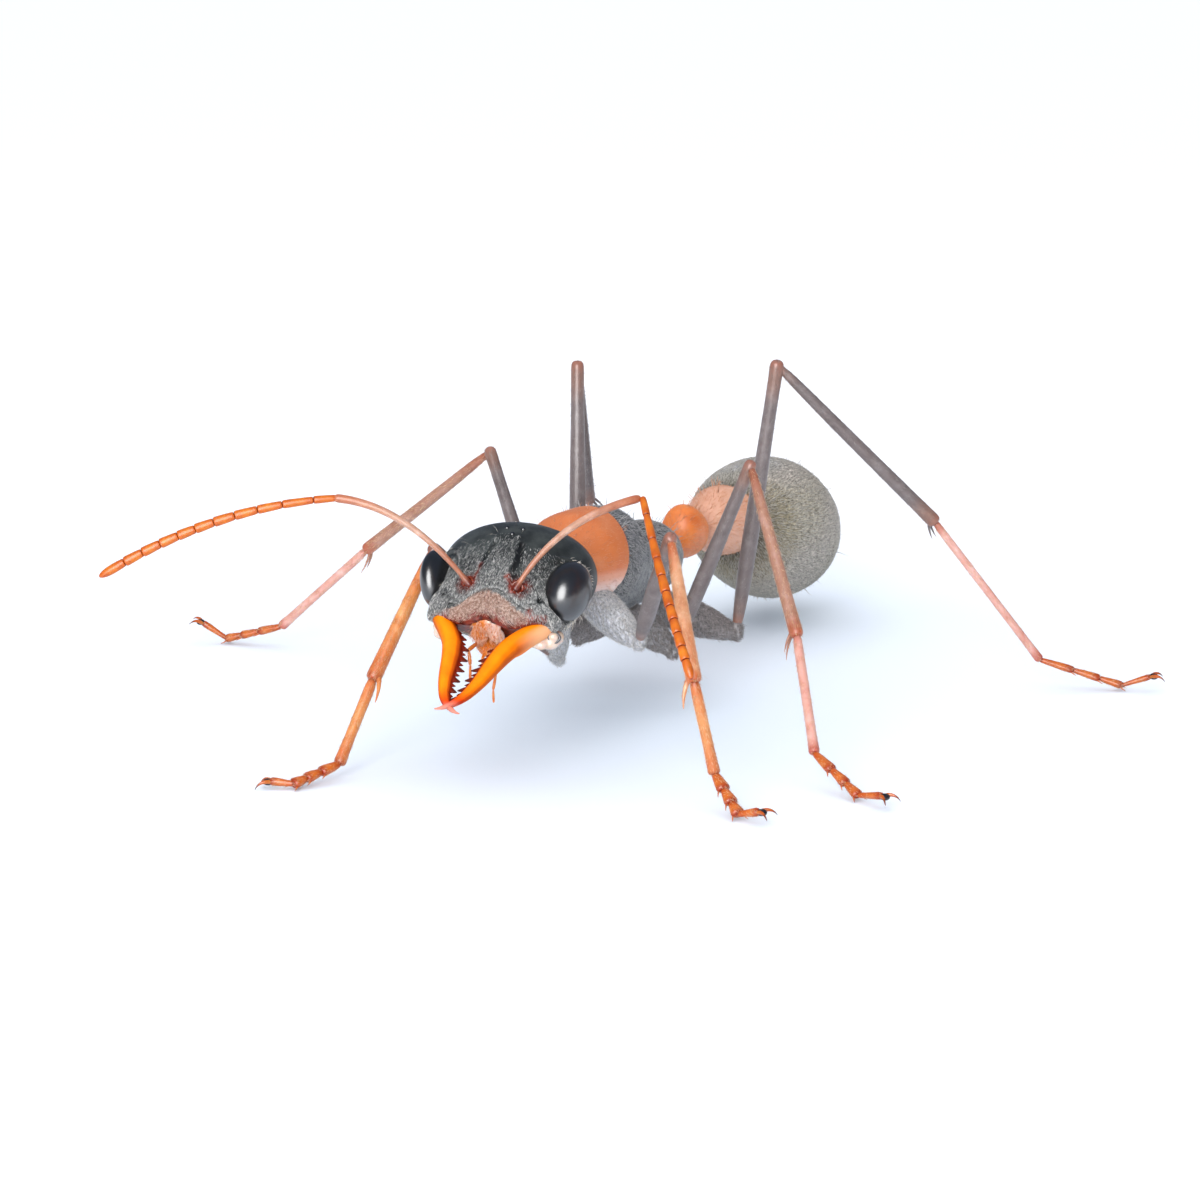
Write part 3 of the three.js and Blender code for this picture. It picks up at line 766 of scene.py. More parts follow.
# 1 on bare horn, 0 where the face is furred: sockets, pits, grooves, carinae, flecks and notch.
def bareFace(p):
    bare = np.zeros(len(p))
    for side, pit in zip((1, -1), head["pits"]):
        for path, reach in ((flipped([head["socket"]], side), 0.15), (pit, 0.065),
                            (head["groove"][side], head["grooveReach"][side]), (head["carina"][side], 0.035),
                            (flipped([head["fleck"]], side), 0.06)):
            bare = np.maximum(bare, nearness(p, path, reach))
    return np.maximum(bare, nearness(p, head["notch"], 0.045, 1.6))


# 0 on the turned-in edge under the shield, 1 above it.
def aboveRim(p):
    across, _, height = zip(*head["notch"])
    over = easy(p[:, 2] - np.interp(p[:, 0], across, height), -0.03, 0.01)
    return np.where((p[:, 1] < -0.9) & (p[:, 0] > across[0]) & (p[:, 0] < across[-1]), over, 1)


def onShield(p):
    line = np.interp(np.abs(p[:, 0]), (0, 0.15, 0.3, 0.42, 0.6), (0.47, 0.43, 0.34, 0.24, 0.16))
    return easy(line - p[:, 2], -0.01, 0.03) * easy(-p[:, 1], 0.85, 0.9) * easy(0.62 - np.abs(p[:, 0]), 0,
                                                                                0.08)


# How thick the short pile of the face is at places in the head's own frame.
def facePile(p):
    between = easy(0.22 - np.abs(p[:, 0]), 0, 0.06)
    front = (0.2 * easy(-p[:, 1], -0.14, 0.2) + 0.2 * easy(-p[:, 1], 0.2, 0.8)) * between
    front += (0.2 * easy(-p[:, 1], 0.0, 0.35) + 0.26 * easy(-p[:, 1], 0.4, 0.95)) * (1 - between)
    side = 0.62 * easy(-p[:, 1], -0.3, 0.5) * easy(-p[:, 2], -0.12, 0.08)
    fur = np.maximum(front, side) * aboveRim(p)
    return fur * (1 - 0.7 * easy(-p[:, 2], 0.35, 0.6)) * (1 - bareFace(p)) * (1 - onShield(p))


def shieldPile(p):
    return 0.65 * onShield(p) * (1 - bareFace(p)) * aboveRim(p)


# Where the black horn turns red-brown: sockets, notch, jaw joint, and a fleck on either side of the brow.
def noteWarmth(skull):
    places = points(skull) / mm
    # spots, reach and amount
    spots = [([head["fleck"]], 0.07, 0.9), (flipped([head["fleck"]], -1), 0.04, 0.6),
             (head["carina"][1], 0.055, 0.9), (head["carina"][-1], 0.05, 0.9), (head["notch"], 0.075, 1)]
    for side in (1, -1):
        spots += [(flipped([head["socket"]], side), 0.17, 1),
                  (flipped([(0.6, -1.12, 0.02), (0.85, -0.97, 0.0)], side), 0.05, 0.9)]
    warm = np.zeros(len(places))
    for path, reach, amount in spots:
        warm = np.maximum(warm, amount * nearness(places, path, reach))
    warm = np.maximum(warm, 1 - aboveRim(places))
    note(skull, "warm", warm)
    # the grooves and pits, which the head finish paints near black as painted shade in the hollows
    dark = [(head["groove"][side], 0.8 * head["grooveReach"][side]) for side in (1, -1)]
    dark += [(pit, 0.046) for pit in head["pits"]]
    note(skull, "dark", np.maximum.reduce([nearness(places, path, reach) for path, reach in dark]))
    note(skull, "pile", facePile(places))
    note(skull, "shield", shieldPile(places))


def buildEye(side, name):
    eye = head["eye"][side]
    wide, deep, tall = eye["radii"]
    piece = ball(name, (wide, deep, tall), 64)
    # the eye is a little flatter below, towards the jaw
    stroke(piece, [(0, -deep * 0.7, -tall * 0.7)], 0.02, 0.3, (0, 0.02, 0.02))
    noteShape(piece)
    smooth(piece, 0)
    lean = Matrix.Rotation(math.radians(head["eyeLean"]), 4, "Y")
    x, y, z = eye["place"]
    matrix = headAt @ mirrored(side) @ shifted(side * x, y, z) @ lean
    finishPiece(placeBy(piece, matrix), finishes["eye"], "eye", name)


# Overlapping pieces become one skin. It is done at a thousand times the size, where the tool can work.
def meltTogether(pieces, name, fine, rounds):
    piece = joinAll(pieces, name)
    setPoints(piece, points(piece) / mm)
    applyModifier(piece, "REMESH", mode="VOXEL", voxel_size=fine)
    applyModifier(piece, "SMOOTH", factor=0.5, iterations=rounds)
    setPoints(piece, points(piece) * mm)
    smooth(piece, 0)
    return piece


def buildOcelli(skull):
    local = inHead(points(skull))
    beads = []
    for x, y in head["ocelli"]:
        close = local[np.hypot(local[:, 0] - x, local[:, 1] - y) < 0.04]
        bead = growTube("ocellus", [(-0.03, 0.03), (0.0, 0.04), (0.02, 0.032), (0.03, 0.012)], 12, 2)
        beads.append(placeBy(bead, headAt @ shifted(x, y, close[:, 2].max() - 0.005)))
    finishPiece(joinAll(beads, "ocelli"), finishes["eye"], "eye")


# The raised horn ring that each feeler turns in.
def buildSockets():
    rings = []
    sx, sy, sz = head["socket"]
    shape = head["socketRing"]
    for side in (1, -1):
        ring = hornRing(shape["radius"], shape["thick"], 32, 12)
        stretchPiece(ring, shape["size"])
        stroke(ring, [(0.05, -0.1, 0)], 0.01, 0.1, (0, 0, 0.025))
        smooth(ring, 0)
        tip, turn = (math.radians(shape["lean"]), math.radians(side * shape["turn"]))
        lean = Matrix.Rotation(tip, 4, "X") @ Matrix.Rotation(turn, 4, "Y")
        rings.append(placeBy(ring, headAt @ shifted(side * sx, sy - 0.035, sz + 0.025) @ lean))
    finishPiece(joinAll(rings, "sockets"), finishes["socket"], "head_cuticle")


skull = buildSkull()
buildEye(1, "eye_left")
buildEye(-1, "eye_right")
buildOcelli(skull)
buildSockets()
print("skull and eyes made")

jaw = {
    "hinge": (0.78, 0.95, -0.18),
    # how far each swings shut and droops, in degrees, and how high its hinge sits
    "left": {"closes": -0.3, "droop": 10.1, "raise": 0.07},
    "right": {"closes": -1.7, "droop": 10.8, "raise": 0.07},
    # forward of the middle of the head: outer edge, inner edge, half thickness
    "stations": [(0.76, 0.94, 0.72, 0.08), (0.84, 0.95, 0.66, 0.12), (0.99, 0.89, 0.54, 0.15),
                 (1.25, 0.71, 0.375, 0.17), (1.5, 0.565, 0.245, 0.158), (1.8, 0.465, 0.175, 0.132),
                 (2.1, 0.39, 0.138, 0.108), (2.35, 0.32, 0.11, 0.09), (2.6, 0.228, 0.055, 0.073),
                 (2.75, 0.15, -0.005, 0.06), (2.87, 0.05, -0.08, 0.048), (2.96, -0.07, -0.17, 0.03),
                 (2.995, -0.165, -0.25, 0.012)],
    "teeth": {"first": 1.2, "last": 2.74, "count": 14, "long": 0.115, "short": 0.07, "root": 0.075},
    # soft lobes at the root: place and size
    "lobes": [((0.84, -0.93, -0.31), (0.15, 0.15, 0.11)), ((0.74, -1.02, -0.3), (0.12, 0.14, 0.09)),
              ((0.92, -0.84, -0.29), (0.1, 0.13, 0.1)), ((0.66, -1.08, -0.27), (0.1, 0.11, 0.07)),
              ((0.9, -0.97, -0.215), (0.08, 0.075, 0.08))],
    "knob": {"radius": 0.074, "thick": 0.019, "lean": 62, "turn": 24, 1: (0.92, -0.985, -0.215),
             -1: (0.92, -0.86, -0.215)},
}


def jawEdges(forward):
    table = np.array(jaw["stations"])
    return np.interp(forward, table[:, 0], table[:, 1]), np.interp(forward, table[:, 0], table[:, 2])


# A wedge tooth, one unit tall, its point bent to one side.
def buildTooth():
    deselect()
    bpy.ops.mesh.primitive_cone_add(vertices=10, radius1=mm, radius2=0.2 * mm, depth=mm,
                                    location=(0, 0, 0.5 * mm))
    tooth = bpy.context.object
    applyPlace(tooth)
    bpy.ops.object.mode_set(mode="EDIT")
    for height in (0.4, 0.75):
        bpy.ops.mesh.select_all(action="SELECT")
        bpy.ops.mesh.bisect(plane_co=(0, 0, height * mm), plane_no=(0, 0, 1))
    bpy.ops.object.mode_set(mode="OBJECT")
    stroke(tooth, [(0, 0, 1)], 0.08, 0.8, (0.5, 0, 0))
    return tooth


def jawMatrix(side, name):
    bend = jaw[name.split("_")[1]]
    x, forward, z = jaw["hinge"]
    close = Matrix.Rotation(math.radians(bend["closes"]), 4, "Z")
    drop = Matrix.Rotation(math.radians(-bend["droop"]), 4, "X")
    hinge = shifted(x, forward, z + bend["raise"])
    back = shifted(-x, -forward, 0)
    return headAt @ Matrix.Diagonal((side, -1, 1, 1)) @ hinge @ drop @ close @ back @ turnUp


def buildJaw(side, name):
    rings = [(forward, (outer - inner) / 2, thick, (outer + inner) / 2, 0)
             for forward, outer, inner, thick in jaw["stations"]]
    pieces = [growTube(name, between(rings, 40), 20, 1)]
    # a ridge along the back of the blade near its outer edge
    stroke(pieces[0], [(0.9, 0.2, 0.9), (0.55, 0.16, 1.4), (0.42, 0.13, 1.9)], 0.03, 0.14, (0, 0.02, 0))
    teeth = jaw["teeth"]
    model = buildTooth()
    for i in range(teeth["count"]):
        forward = teeth["first"] + (teeth["last"] - teeth["first"]) * i / (teeth["count"] - 1)
        length = (teeth["long"] if i % 2 else teeth["short"]) * (
            0.75 + 0.35 * math.sin(math.pi * (i + 1) / teeth["count"]))
        inner = jawEdges(forward)[1]
        # it points inwards, its bent tip a little forwards
        lay = Matrix(((0, 0, -1), (0, 1, 0), (1, 0, 0))).to_4x4()
        size = Matrix.Diagonal((teeth["root"] * (1.1 if i % 2 else 0.75), 0.045, length + 0.06, 1))
        pieces.append(placeBy(copyOf(model, "tooth"), shifted(inner + 0.06, 0, forward) @ lay @ size))
    discard(model)
    piece = meltTogether(pieces, name, 0.0125, 2)
    places = points(piece) / mm
    outer, inner = jawEdges(places[:, 2])
    note(piece, "across",
         np.clip((places[:, 0] - inner) / np.maximum(outer - inner, 0.05), -0.3, 1) / 1.3 + 0.23)
    note(piece, "reach", np.clip((places[:, 2] - 0.76) / 2.25, 0, 1))
    note(piece, "paleRoot", np.clip((1.62 - places[:, 2]) / 0.7, 0, 1) * (1 if side > 0 else 0.0))
    noteShape(piece)
    finishPiece(placeBy(piece, jawMatrix(side, name)), finishes["jaw"], "jaw", name)


# The soft pale skin at the root of each jaw and the round knob of its hinge.
def buildHinges():
    pieces, knobs = [], []
    knob = jaw["knob"]
    for side in (1, -1):
        at = headAt @ mirrored(side) @ shifted(0 if side > 0 else -0.09, 0, 0)
        for place, size in jaw["lobes"]:
            pieces.append(placeBy(ball("fold", size, 24), at @ shifted(*place)))
        # the dark rim of the round knob
        rim = hornRing(knob["radius"], knob["thick"], 28, 10)
        stroke(rim, [(0.078, 0, 0)], 0.01, 0.06, (0.012, 0, 0.01))
        smooth(rim, 0)
        tip, turn = math.radians(knob["lean"]), math.radians(knob["turn"])
        lean = Matrix.Rotation(tip, 4, "X") @ Matrix.Rotation(turn, 4, "Y")
        knobs.append(placeBy(rim, at @ shifted(*knob[side]) @ lean))
    finishPiece(meltTogether(pieces, "jawSkin", 0.016, 8), finishes["membrane"], "jaw")
    finishPiece(joinAll(knobs, "jawKnobs"), finishes["knob"], "jaw")


buildJaw(1, "mandible_left")
buildJaw(-1, "mandible_right")
buildHinges()
print("jaws made")

feelers = {
    "left": {"scape": [(0.36, -0.86, 0.46), (0.82, -0.2, 1.31), (1.82, 0.6, 1.34)],
             "whip": [(1.84, 0.58, 1.345), (2.65, -1.3, 0.75), (3.24, -2.16, -0.06)]},
    "right": {"scape": [(-0.36, -0.86, 0.46), (-1.2, -0.9, 1.64), (-2.2, -1.14, 1.74)],
              "whip": [(-2.16, -1.125, 1.735), (-3.7, -1.85, 1.8), (-5.2, -2.64, 0.92)]},
    "joints": [0.33, 0.46, 0.37, 0.34, 0.31, 0.28, 0.26, 0.27, 0.27, 0.27, 0.39],
    "width": {"scape": (0.036, 0.064), "whip": (0.058, 0.074)},
}


def bezier(curve, t):
    a, b, c = (Vector(p) for p in curve)
    return a * (1 - t) ** 2 + b * 2 * t * (1 - t) + c * t * t


def buildScape(name, feeler):
    thin, thick = feelers["width"]["scape"]
    count = 16
    rings = [(-0.07, 0.02), (-0.055, 0.05), (-0.02, 0.062), (0.02, 0.05), (0.06, thin * 0.85)]
    for i in range(1, count + 1):
        half = thin + (thick - thin) * (i / count) ** 0.8
        rings.append((0.06 + 0.9 * i / count, half))
    rings += [(0.975, thick * 0.95), (0.995, thick * 0.6)]
    scape = growTube(name, rings, 14, 1)
    places = points(scape) / mm
    bent = []
    for x, y, z in places:
        t = min(max(z, -0.07), 1.0)
        middle = bezier(feeler["scape"], max(t, 0.0))
        ahead = (bezier(feeler["scape"], min(t + 0.02, 1.02)) - bezier(feeler["scape"], t)).normalized()
        across = ahead.cross(Vector((0, 0, 1))).normalized()
        other = across.cross(ahead)
        bent.append((middle + ahead * min(t, 0) + across * x + other * y) * mm)
    setPoints(scape, bent)
    faceOut(scape)
    finishPiece(placeBy(scape, headAt), finishes["scape"], "feeler_orange", name)


def buildWhip(name, feeler):
    joints = feelers["joints"]
    total = sum(joints)
    thin, thick = feelers["width"]["whip"]
    bead = growTube("joint", [(0.0, 0.6), (0.02, 0.8), (0.07, 0.88), (0.5, 0.96),
                              (0.88, 1.02), (0.97, 0.96), (1.0, 0.72)], 14, 1)
    tip = growTube("tip", [(0.0, 0.6), (0.02, 0.8), (0.07, 0.88), (0.45, 0.98),
                           (0.75, 0.86), (0.93, 0.52), (1.0, 0.16)], 14, 1)
    pieces = []
    gone = 0
    for i, length in enumerate(joints):
        start = bezier(feeler["whip"], gone / total)
        gone += length
        end = bezier(feeler["whip"], gone / total)
        half = thin + (thick - thin) * min(i / 4, 1)
        segment = copyOf(tip if i == len(joints) - 1 else bead, "joint")
        places = points(segment)
        setPoints(segment, places * (half, half, (end - start).length * 1.01))
        pieces.append(layAlong(segment, start * mm, end * mm, Vector((0, 0, 1))))
    discard(bead, tip)
    whip = joinAll(pieces, name)
    finishPiece(placeBy(whip, headAt), finishes["funiculus"], "feeler_orange", name)


for side in ("left", "right"):
    buildScape("scape_" + side, feelers[side])
    buildWhip("funiculus_" + side, feelers[side])
print("feelers made")

mouth = {
    # lobes of the upper lip: place and size, in the lip's own frame
    "lip": {"place": (-0.01, -1.155, -0.13), "lean": 20,
            "lobes": [((0, 0.01, 0.1), (0.22, 0.045, 0.13)), ((0.125, 0, -0.05), (0.125, 0.06, 0.15)),
                      ((-0.13, 0, -0.08), (0.125, 0.06, 0.16))]},
    "chin": {"place": (0, -0.8, -0.44), "size": (0.32, 0.34, 0.16)},
    "jointTaper": 0.84,
    # each feeler's joints, in the head
    "longFeelers": {"left": [(0.22, -1.05, -0.42), (0.24, -1.3, -0.5), (0.21, -1.52, -0.6),
                             (0.19, -1.62, -0.8), (0.187, -1.62, -1.0)],
                    "right": [(-0.2, -1.1, -0.36), (-0.175, -1.52, -0.26), (-0.13, -1.62, -0.44),
                              (-0.145, -1.62, -0.7), (-0.155, -1.62, -0.97)]},
    "shortFeelers": {"left": [(0.08, -1.05, -0.45), (0.06, -1.3, -0.5), (0.03, -1.42, -0.66)],
                     "right": [(-0.08, -1.05, -0.45), (-0.06, -1.3, -0.5), (-0.02, -1.4, -0.68)]},
}


def chain(path, half):
    bead = growTube("joint", [(0.0, 0.45), (0.05, 0.75), (0.5, 1.0), (0.93, 0.95), (1.0, 0.5)], 10, 1)
    pieces = []
    for i, (a, b) in enumerate(zip(path, path[1:])):
        start, end = Vector(a), Vector(b)
        segment = copyOf(bead, "joint")
        width = half * mouth["jointTaper"] ** i
        setPoints(segment, points(segment) * (width, width, (end - start).length * 1.02))
        pieces.append(layAlong(segment, start * mm, end * mm, Vector((0, 0, 1))))
    discard(bead)
    return pieces


def buildMouth():
    lip = meltTogether([placeBy(ball("lobe", size, 24), shifted(*place))
                        for place, size in mouth["lip"]["lobes"]], "lip", 0.012, 4)
    # one lobe is paler than the other
    note(lip, "low", easy(points(lip)[:, 0] / mm, -0.06, 0.1))
    placeBy(lip, shifted(*mouth["lip"]["place"])
            @ Matrix.Rotation(math.radians(mouth["lip"]["lean"]), 4, "X"))
    chin = ball("chin", mouth["chin"]["size"])
    stroke(chin, [(0, -0.3, 0)], 0.05, 0.3, (0, -0.08, -0.03))
    smooth(chin, 1)
    placeBy(chin, shifted(*mouth["chin"]["place"]))
    pieces = [lip, chin]
    for piece in pieces:
        noteShape(piece)
    for side in ("left", "right"):
        pieces += chain(mouth["longFeelers"][side], 0.034)
        pieces += chain(mouth["shortFeelers"][side], 0.026)
    return finishPiece(placeBy(joinAll(pieces, "mouthparts"), headAt), finishes["mouth"], "feeler_orange",
                       "mouthparts")


mouthparts = buildMouth()
print("mouth made")

trunk = {
    # y, height of the middle, half width, top, bottom
    "stations": [(0.1, 2.62, 0.12, 0.1, 0.1), (0.16, 2.62, 0.3, 0.26, 0.26), (0.45, 2.6, 0.5, 0.48, 0.4),
                 (0.9, 2.55, 0.76, 0.77, 0.58), (1.35, 2.47, 0.81, 0.87, 0.72),
                 (1.9, 2.38, 0.71, 0.91, 0.78), (2.4, 2.3, 0.61, 0.86, 0.76), (2.7, 2.24, 0.55, 0.7, 0.73),
                 (2.88, 2.2, 0.52, 0.57, 0.7), (3.02, 2.17, 0.53, 0.61, 0.67),
                 (3.2, 2.14, 0.53, 0.65, 0.65), (3.5, 2.11, 0.53, 0.64, 0.6),
                 (3.9, 2.08, 0.49, 0.57, 0.52), (4.2, 2.06, 0.36, 0.38, 0.36),
                 (4.32, 2.06, 0.12, 0.12, 0.12)],
    "neck": [(-0.3, 2.64, 0.1, 0.1, 0.1), (-0.24, 2.64, 0.2, 0.17, 0.17), (0.0, 2.63, 0.19, 0.16, 0.16),
             (0.2, 2.62, 0.22, 0.2, 0.2), (0.26, 2.62, 0.1, 0.1, 0.1)],
    # seams: y, height, lean in degrees
    "collar": (1.34, 2.7, 28), "back": (2.88, 2.2, -6),
    # grooves and ridges of one side: their spots, half width, height
    "marks": [([(0.75, 1.5, 2.5), (0.72, 1.9, 2.3), (0.66, 2.3, 2.2), (0.56, 2.8, 2.05)], 0.03, -0.05),
              ([(0.6, 1.95, 2.95), (0.55, 2.4, 2.75), (0.48, 2.82, 2.55)], 0.025, -0.035),
              ([(0.7, 2.0, 2.55), (0.64, 2.4, 2.3), (0.6, 2.5, 1.9)], 0.025, -0.03),
              ([(0.62, 2.6, 1.75), (0.55, 2.72, 2.2), (0.45, 2.8, 2.6)], 0.025, -0.04),
              ([(0.6, 3.0, 1.85), (0.58, 3.5, 1.9), (0.5, 4.0, 1.85)], 0.03, -0.04),
              ([(0.52, 3.5, 2.42)], 0.028, -0.05), ([(0.5, 3.45, 2.36), (0.53, 3.55, 2.36)], 0.05, 0.02),
              ([(0.56, 2.86, 2.42)], 0.028, -0.05),
              ([(0.36, 3.3, 2.66), (0.38, 3.8, 2.52), (0.3, 4.1, 2.3)], 0.05, 0.02)],
    "collarMark": ([(0.72, 1.0, 2.35), (0.8, 1.3, 2.1), (0.74, 1.4, 1.9)], 0.04, -0.03),
    "spots": [([(-0.42, 2.5, 2.98), (-0.2, 2.54, 3.1), (0, 2.56, 3.13), (0.2, 2.54, 3.1), (0.42, 2.5, 2.98)],
               0.03, -0.035)],
}
waist = {
    "petiole": [(4.3, 2.04, 0.15, 0.14, 0.14), (4.36, 2.04, 0.2, 0.18, 0.18), (4.52, 2.07, 0.2, 0.2, 0.19),
                (4.66, 2.12, 0.24, 0.28, 0.26), (4.82, 2.22, 0.31, 0.43, 0.37),
                (5.04, 2.26, 0.34, 0.45, 0.44), (5.3, 2.24, 0.32, 0.37, 0.41),
                (5.5, 2.2, 0.24, 0.25, 0.25), (5.62, 2.19, 0.17, 0.17, 0.17),
                (5.66, 2.19, 0.12, 0.12, 0.12)],
    "postpetiole": [(5.6, 2.18, 0.14, 0.14, 0.14), (5.68, 2.18, 0.25, 0.25, 0.25),
                    (6.0, 2.18, 0.43, 0.45, 0.45), (6.35, 2.17, 0.55, 0.56, 0.57),
                    (6.68, 2.14, 0.59, 0.57, 0.59), (6.84, 2.11, 0.54, 0.52, 0.54),
                    (6.92, 2.1, 0.44, 0.42, 0.44), (6.96, 2.09, 0.34, 0.34, 0.34)],
}
gaster = {
    "stations": [(6.9, 2.07, 0.3, 0.3, 0.3), (6.99, 2.05, 0.5, 0.46, 0.5), (7.34, 1.92, 0.96, 0.87, 0.95),
                 (7.92, 1.76, 1.17, 1.13, 1.17), (8.5, 1.63, 1.21, 1.23, 1.21),
                 (9.1, 1.52, 1.09, 1.13, 1.07), (9.7, 1.42, 0.78, 0.83, 0.75),
                 (10.2, 1.34, 0.45, 0.47, 0.43), (10.38, 1.31, 0.18, 0.18, 0.18)],
    "seams": [None, (8.55, 1.63, 12), (9.4, 1.5, 12), (9.98, 1.4, 12), None],
    "names": ["gaster_1", "gaster_2", "gaster_3", "gaster_4"],
}


# How far down the flank each place is, 0 on the back and 1 below.
def noteLow(piece):
    height = points(piece)[:, 2] / mm
    note(piece, "low", easy(2.8 - height, 0, 0.65))


def trunkMarks():
    both = [(flipped(path, side), width, height)
            for side in (1, -1) for path, width, height in trunk["marks"]]
    return trunk["spots"] + both


# 1 in the grooves between the plates of the flank, 0 away from them.
def inSuture(p):
    return np.maximum.reduce([nearness(p, path, width, 1.6) for path, width, height in trunkMarks()
                              if height < 0])


def toWorld(piece):
    return placeBy(piece, Matrix.Translation(neck))


# A smaller copy of some stations: the soft body under the plates.
def shrunk(stations, size):
    return [(y, z, half * size, top * size, low * size) for y, z, half, top, low in stations]


def buildTrunk():
    stations, collar, back = trunk["stations"], trunk["collar"], trunk["back"]
    made = {
        "pronotum": growShell("pronotum", stations, None, collar, 48, 20, 2, lip=0.012),
        "mesonotum": growShell("mesonotum", stations, collar, back, 48, 18, 2, lip=0.006),
        "propodeum": growShell("propodeum", stations, back, None, 48, 18, 2),
    }
    for name in ("mesonotum", "propodeum"):
        engrave(made[name], *trunkMarks())
    path, width, height = trunk["collarMark"]
    engrave(made["pronotum"], *[(flipped(path, side), width, height) for side in (1, -1)])
    core = growPlate("softTrunk", shrunk(stations[3:12], 0.88), 24, 16, 1)
    # the soft neck that joins the head to the collar
    softNeck = growPlate("softNeck", trunk["neck"], 24, 8, 1)
    for piece in list(made.values()) + [core, softNeck]:
        noteLow(piece)
    for name in ("mesonotum", "propodeum"):
        note(made[name], "dark", inSuture(points(made[name]) / mm))
    finishPiece(toWorld(softNeck), finishes["darkPlate"], "trunk_black")
    finishPiece(toWorld(made["pronotum"]), finishes["redPlate"], "trunk_orange", "pronotum")
    finishPiece(toWorld(made["mesonotum"]), finishes["darkPlate"], "trunk_black", "mesonotum")
    finishPiece(toWorld(made["propodeum"]), finishes["darkPlate"], "trunk_black", "propodeum")
    finishPiece(toWorld(core), finishes["darkPlate"], "trunk_black")
    return made


def buildWaist():
    made = {}
    for name, stations in waist.items():
        piece = growPlate(name, stations, 36, 30, 1)
        finish = finishes["nodePlate" if name == "petiole" else "paleNode"]
        made[name] = finishPiece(toWorld(piece), finish, "trunk_orange", name)
    return made


def buildGaster():
    made = {}
    seams = gaster["seams"]
    for i, name in enumerate(gaster["names"]):
        front, back = seams[i], seams[i + 1]
        piece = growShell(name, gaster["stations"], front, back, 56, (26, 14, 12, 12)[i], 1, lip=0.014,
                          dip=0.03)
        made[name] = finishPiece(toWorld(piece), finishes["gaster"], "gaster_grey", name)
    # the soft body seen between the plates, and the tip of the sting
    core = growPlate("softGaster", shrunk(gaster["stations"][2:8], 0.95), 32, 20, 1)
    noteLow(core)
    finishPiece(toWorld(core), finishes["darkPlate"], "gaster_grey")
    sting = growTube("sting", [(-0.1, 0.05), (0.0, 0.045), (0.06, 0.03), (0.13, 0.016, 0.016, 0, 0.004),
                               (0.2, 0.005, 0.005, 0, 0.014)], 12, 2)
    finishPiece(toWorld(placeBy(sting, shifted(0, 10.36, 1.28) @ turnUp)), finishes["claw"], "gaster_grey")
    return made


plates = buildTrunk()
plates.update(buildWaist())
plates.update(buildGaster())
print("body made")

legs = {
    "lengths": {"front": {"femur": 2.9, "tibia": 2.2, "heel": 1.37, "foot": 0.8, "claw": 0.46},
                "middle": {"femur": 3.25, "tibia": 2.88, "heel": 2.06, "foot": 1.03, "claw": 0.6},
                "hind": {"femur": 4.35, "tibia": 3.64, "heel": 2.85, "foot": 1.35, "claw": 0.6}},
    "hips": {"front": (0.36, 0.95, 2.1), "middle": (0.4, 2.3, 1.52), "hind": (0.36, 3.45, 1.4)},
    "width": {"front": {"coxa": 0.3, "femur": 0.125, "tibia": 0.11, "heel": 0.09},
              "middle": {"coxa": 0.27, "femur": 0.12, "tibia": 0.1, "heel": 0.08},
              "hind": {"coxa": 0.3, "femur": 0.13, "tibia": 0.105, "heel": 0.07}},
    # directions: back from straight out to the side, and rise above level, in degrees
    "stance": {
        "front_left": {"side": 1, "trochanter": (1.18, 0.88, 1.5), "femur": (-52, 45),
                       "tibia": (-50.8, -51.6), "heel": (28.7, -77.6), "foot": -37.1, "claw": (-4.4, 14.8)},
        "front_right": {"side": -1, "trochanter": (0.36, 1.25, 1.0), "femur": (-58.4, 42.6),
                        "tibia": (-79.7, -49.4), "heel": (-85.2, -50.4), "foot": -64.6,
                        "claw": (-16.2, 3.6)},
        "middle_left": {"side": 1, "trochanter": (1.0, 2.48, 0.98), "femur": (3.3, 67.7),
                        "tibia": (-44.2, -49.3), "heel": (-57.5, -39.9), "foot": -27, "claw": (-21.5, 11.8)},
        "middle_right": {"side": -1, "trochanter": (1.15, 2.5, 0.98), "femur": (34.9, 52.8),
                         "tibia": (-4.3, -38.8), "heel": (-9.9, -42.6), "foot": -9.3, "claw": (-22.7, 33.8)},
        "hind_left": {"side": 1, "trochanter": (1.42, 3.93, 0.98), "femur": (1.3, 81.6),
                      "tibia": (36.9, -44.8), "heel": (30.5, -52.5), "foot": 17.5, "claw": (22.2, 18.8)},
        "hind_right": {"side": -1, "trochanter": (1.23, 3.67, 0.66), "femur": (64, 82), "tibia": (68, -48),
                       "heel": (69, -42), "foot": 69, "claw": (52, 10)},
    },
    "soleHeight": 0.09,
}


def along(start, side, direction, length):
    back, rise = (math.radians(a) for a in direction)
    level = length * math.cos(rise)
    return start + Vector((side * level * math.cos(back), level * math.sin(back),
                           length * math.sin(rise))) * mm


def legJoints(name):
    stance = legs["stance"][name]
    pair = name.split("_")[0]
    lengths = legs["lengths"][pair]
    side = stance["side"]
    x, y, z = legs["hips"][pair]
    hip = onBody(side * x, y, z)
    x, y, z = stance["trochanter"]
    trochanter = onBody(side * x, y, z)
    knee = along(trochanter, side, stance["femur"], lengths["femur"])
    ankle = along(knee, side, stance["tibia"], lengths["tibia"])
    heel = along(ankle, side, stance["heel"], lengths["heel"])
    drop = math.degrees(math.asin((legs["soleHeight"] * mm - heel.z) / (lengths["foot"] * mm)))
    toe = along(heel, side, (stance["foot"], drop), lengths["foot"])
    claw = along(toe, side, stance["claw"], lengths["claw"])
    return {"hip": hip, "trochanter": trochanter, "knee": knee, "ankle": ankle, "heel": heel, "toe": toe,
            "claw": claw}


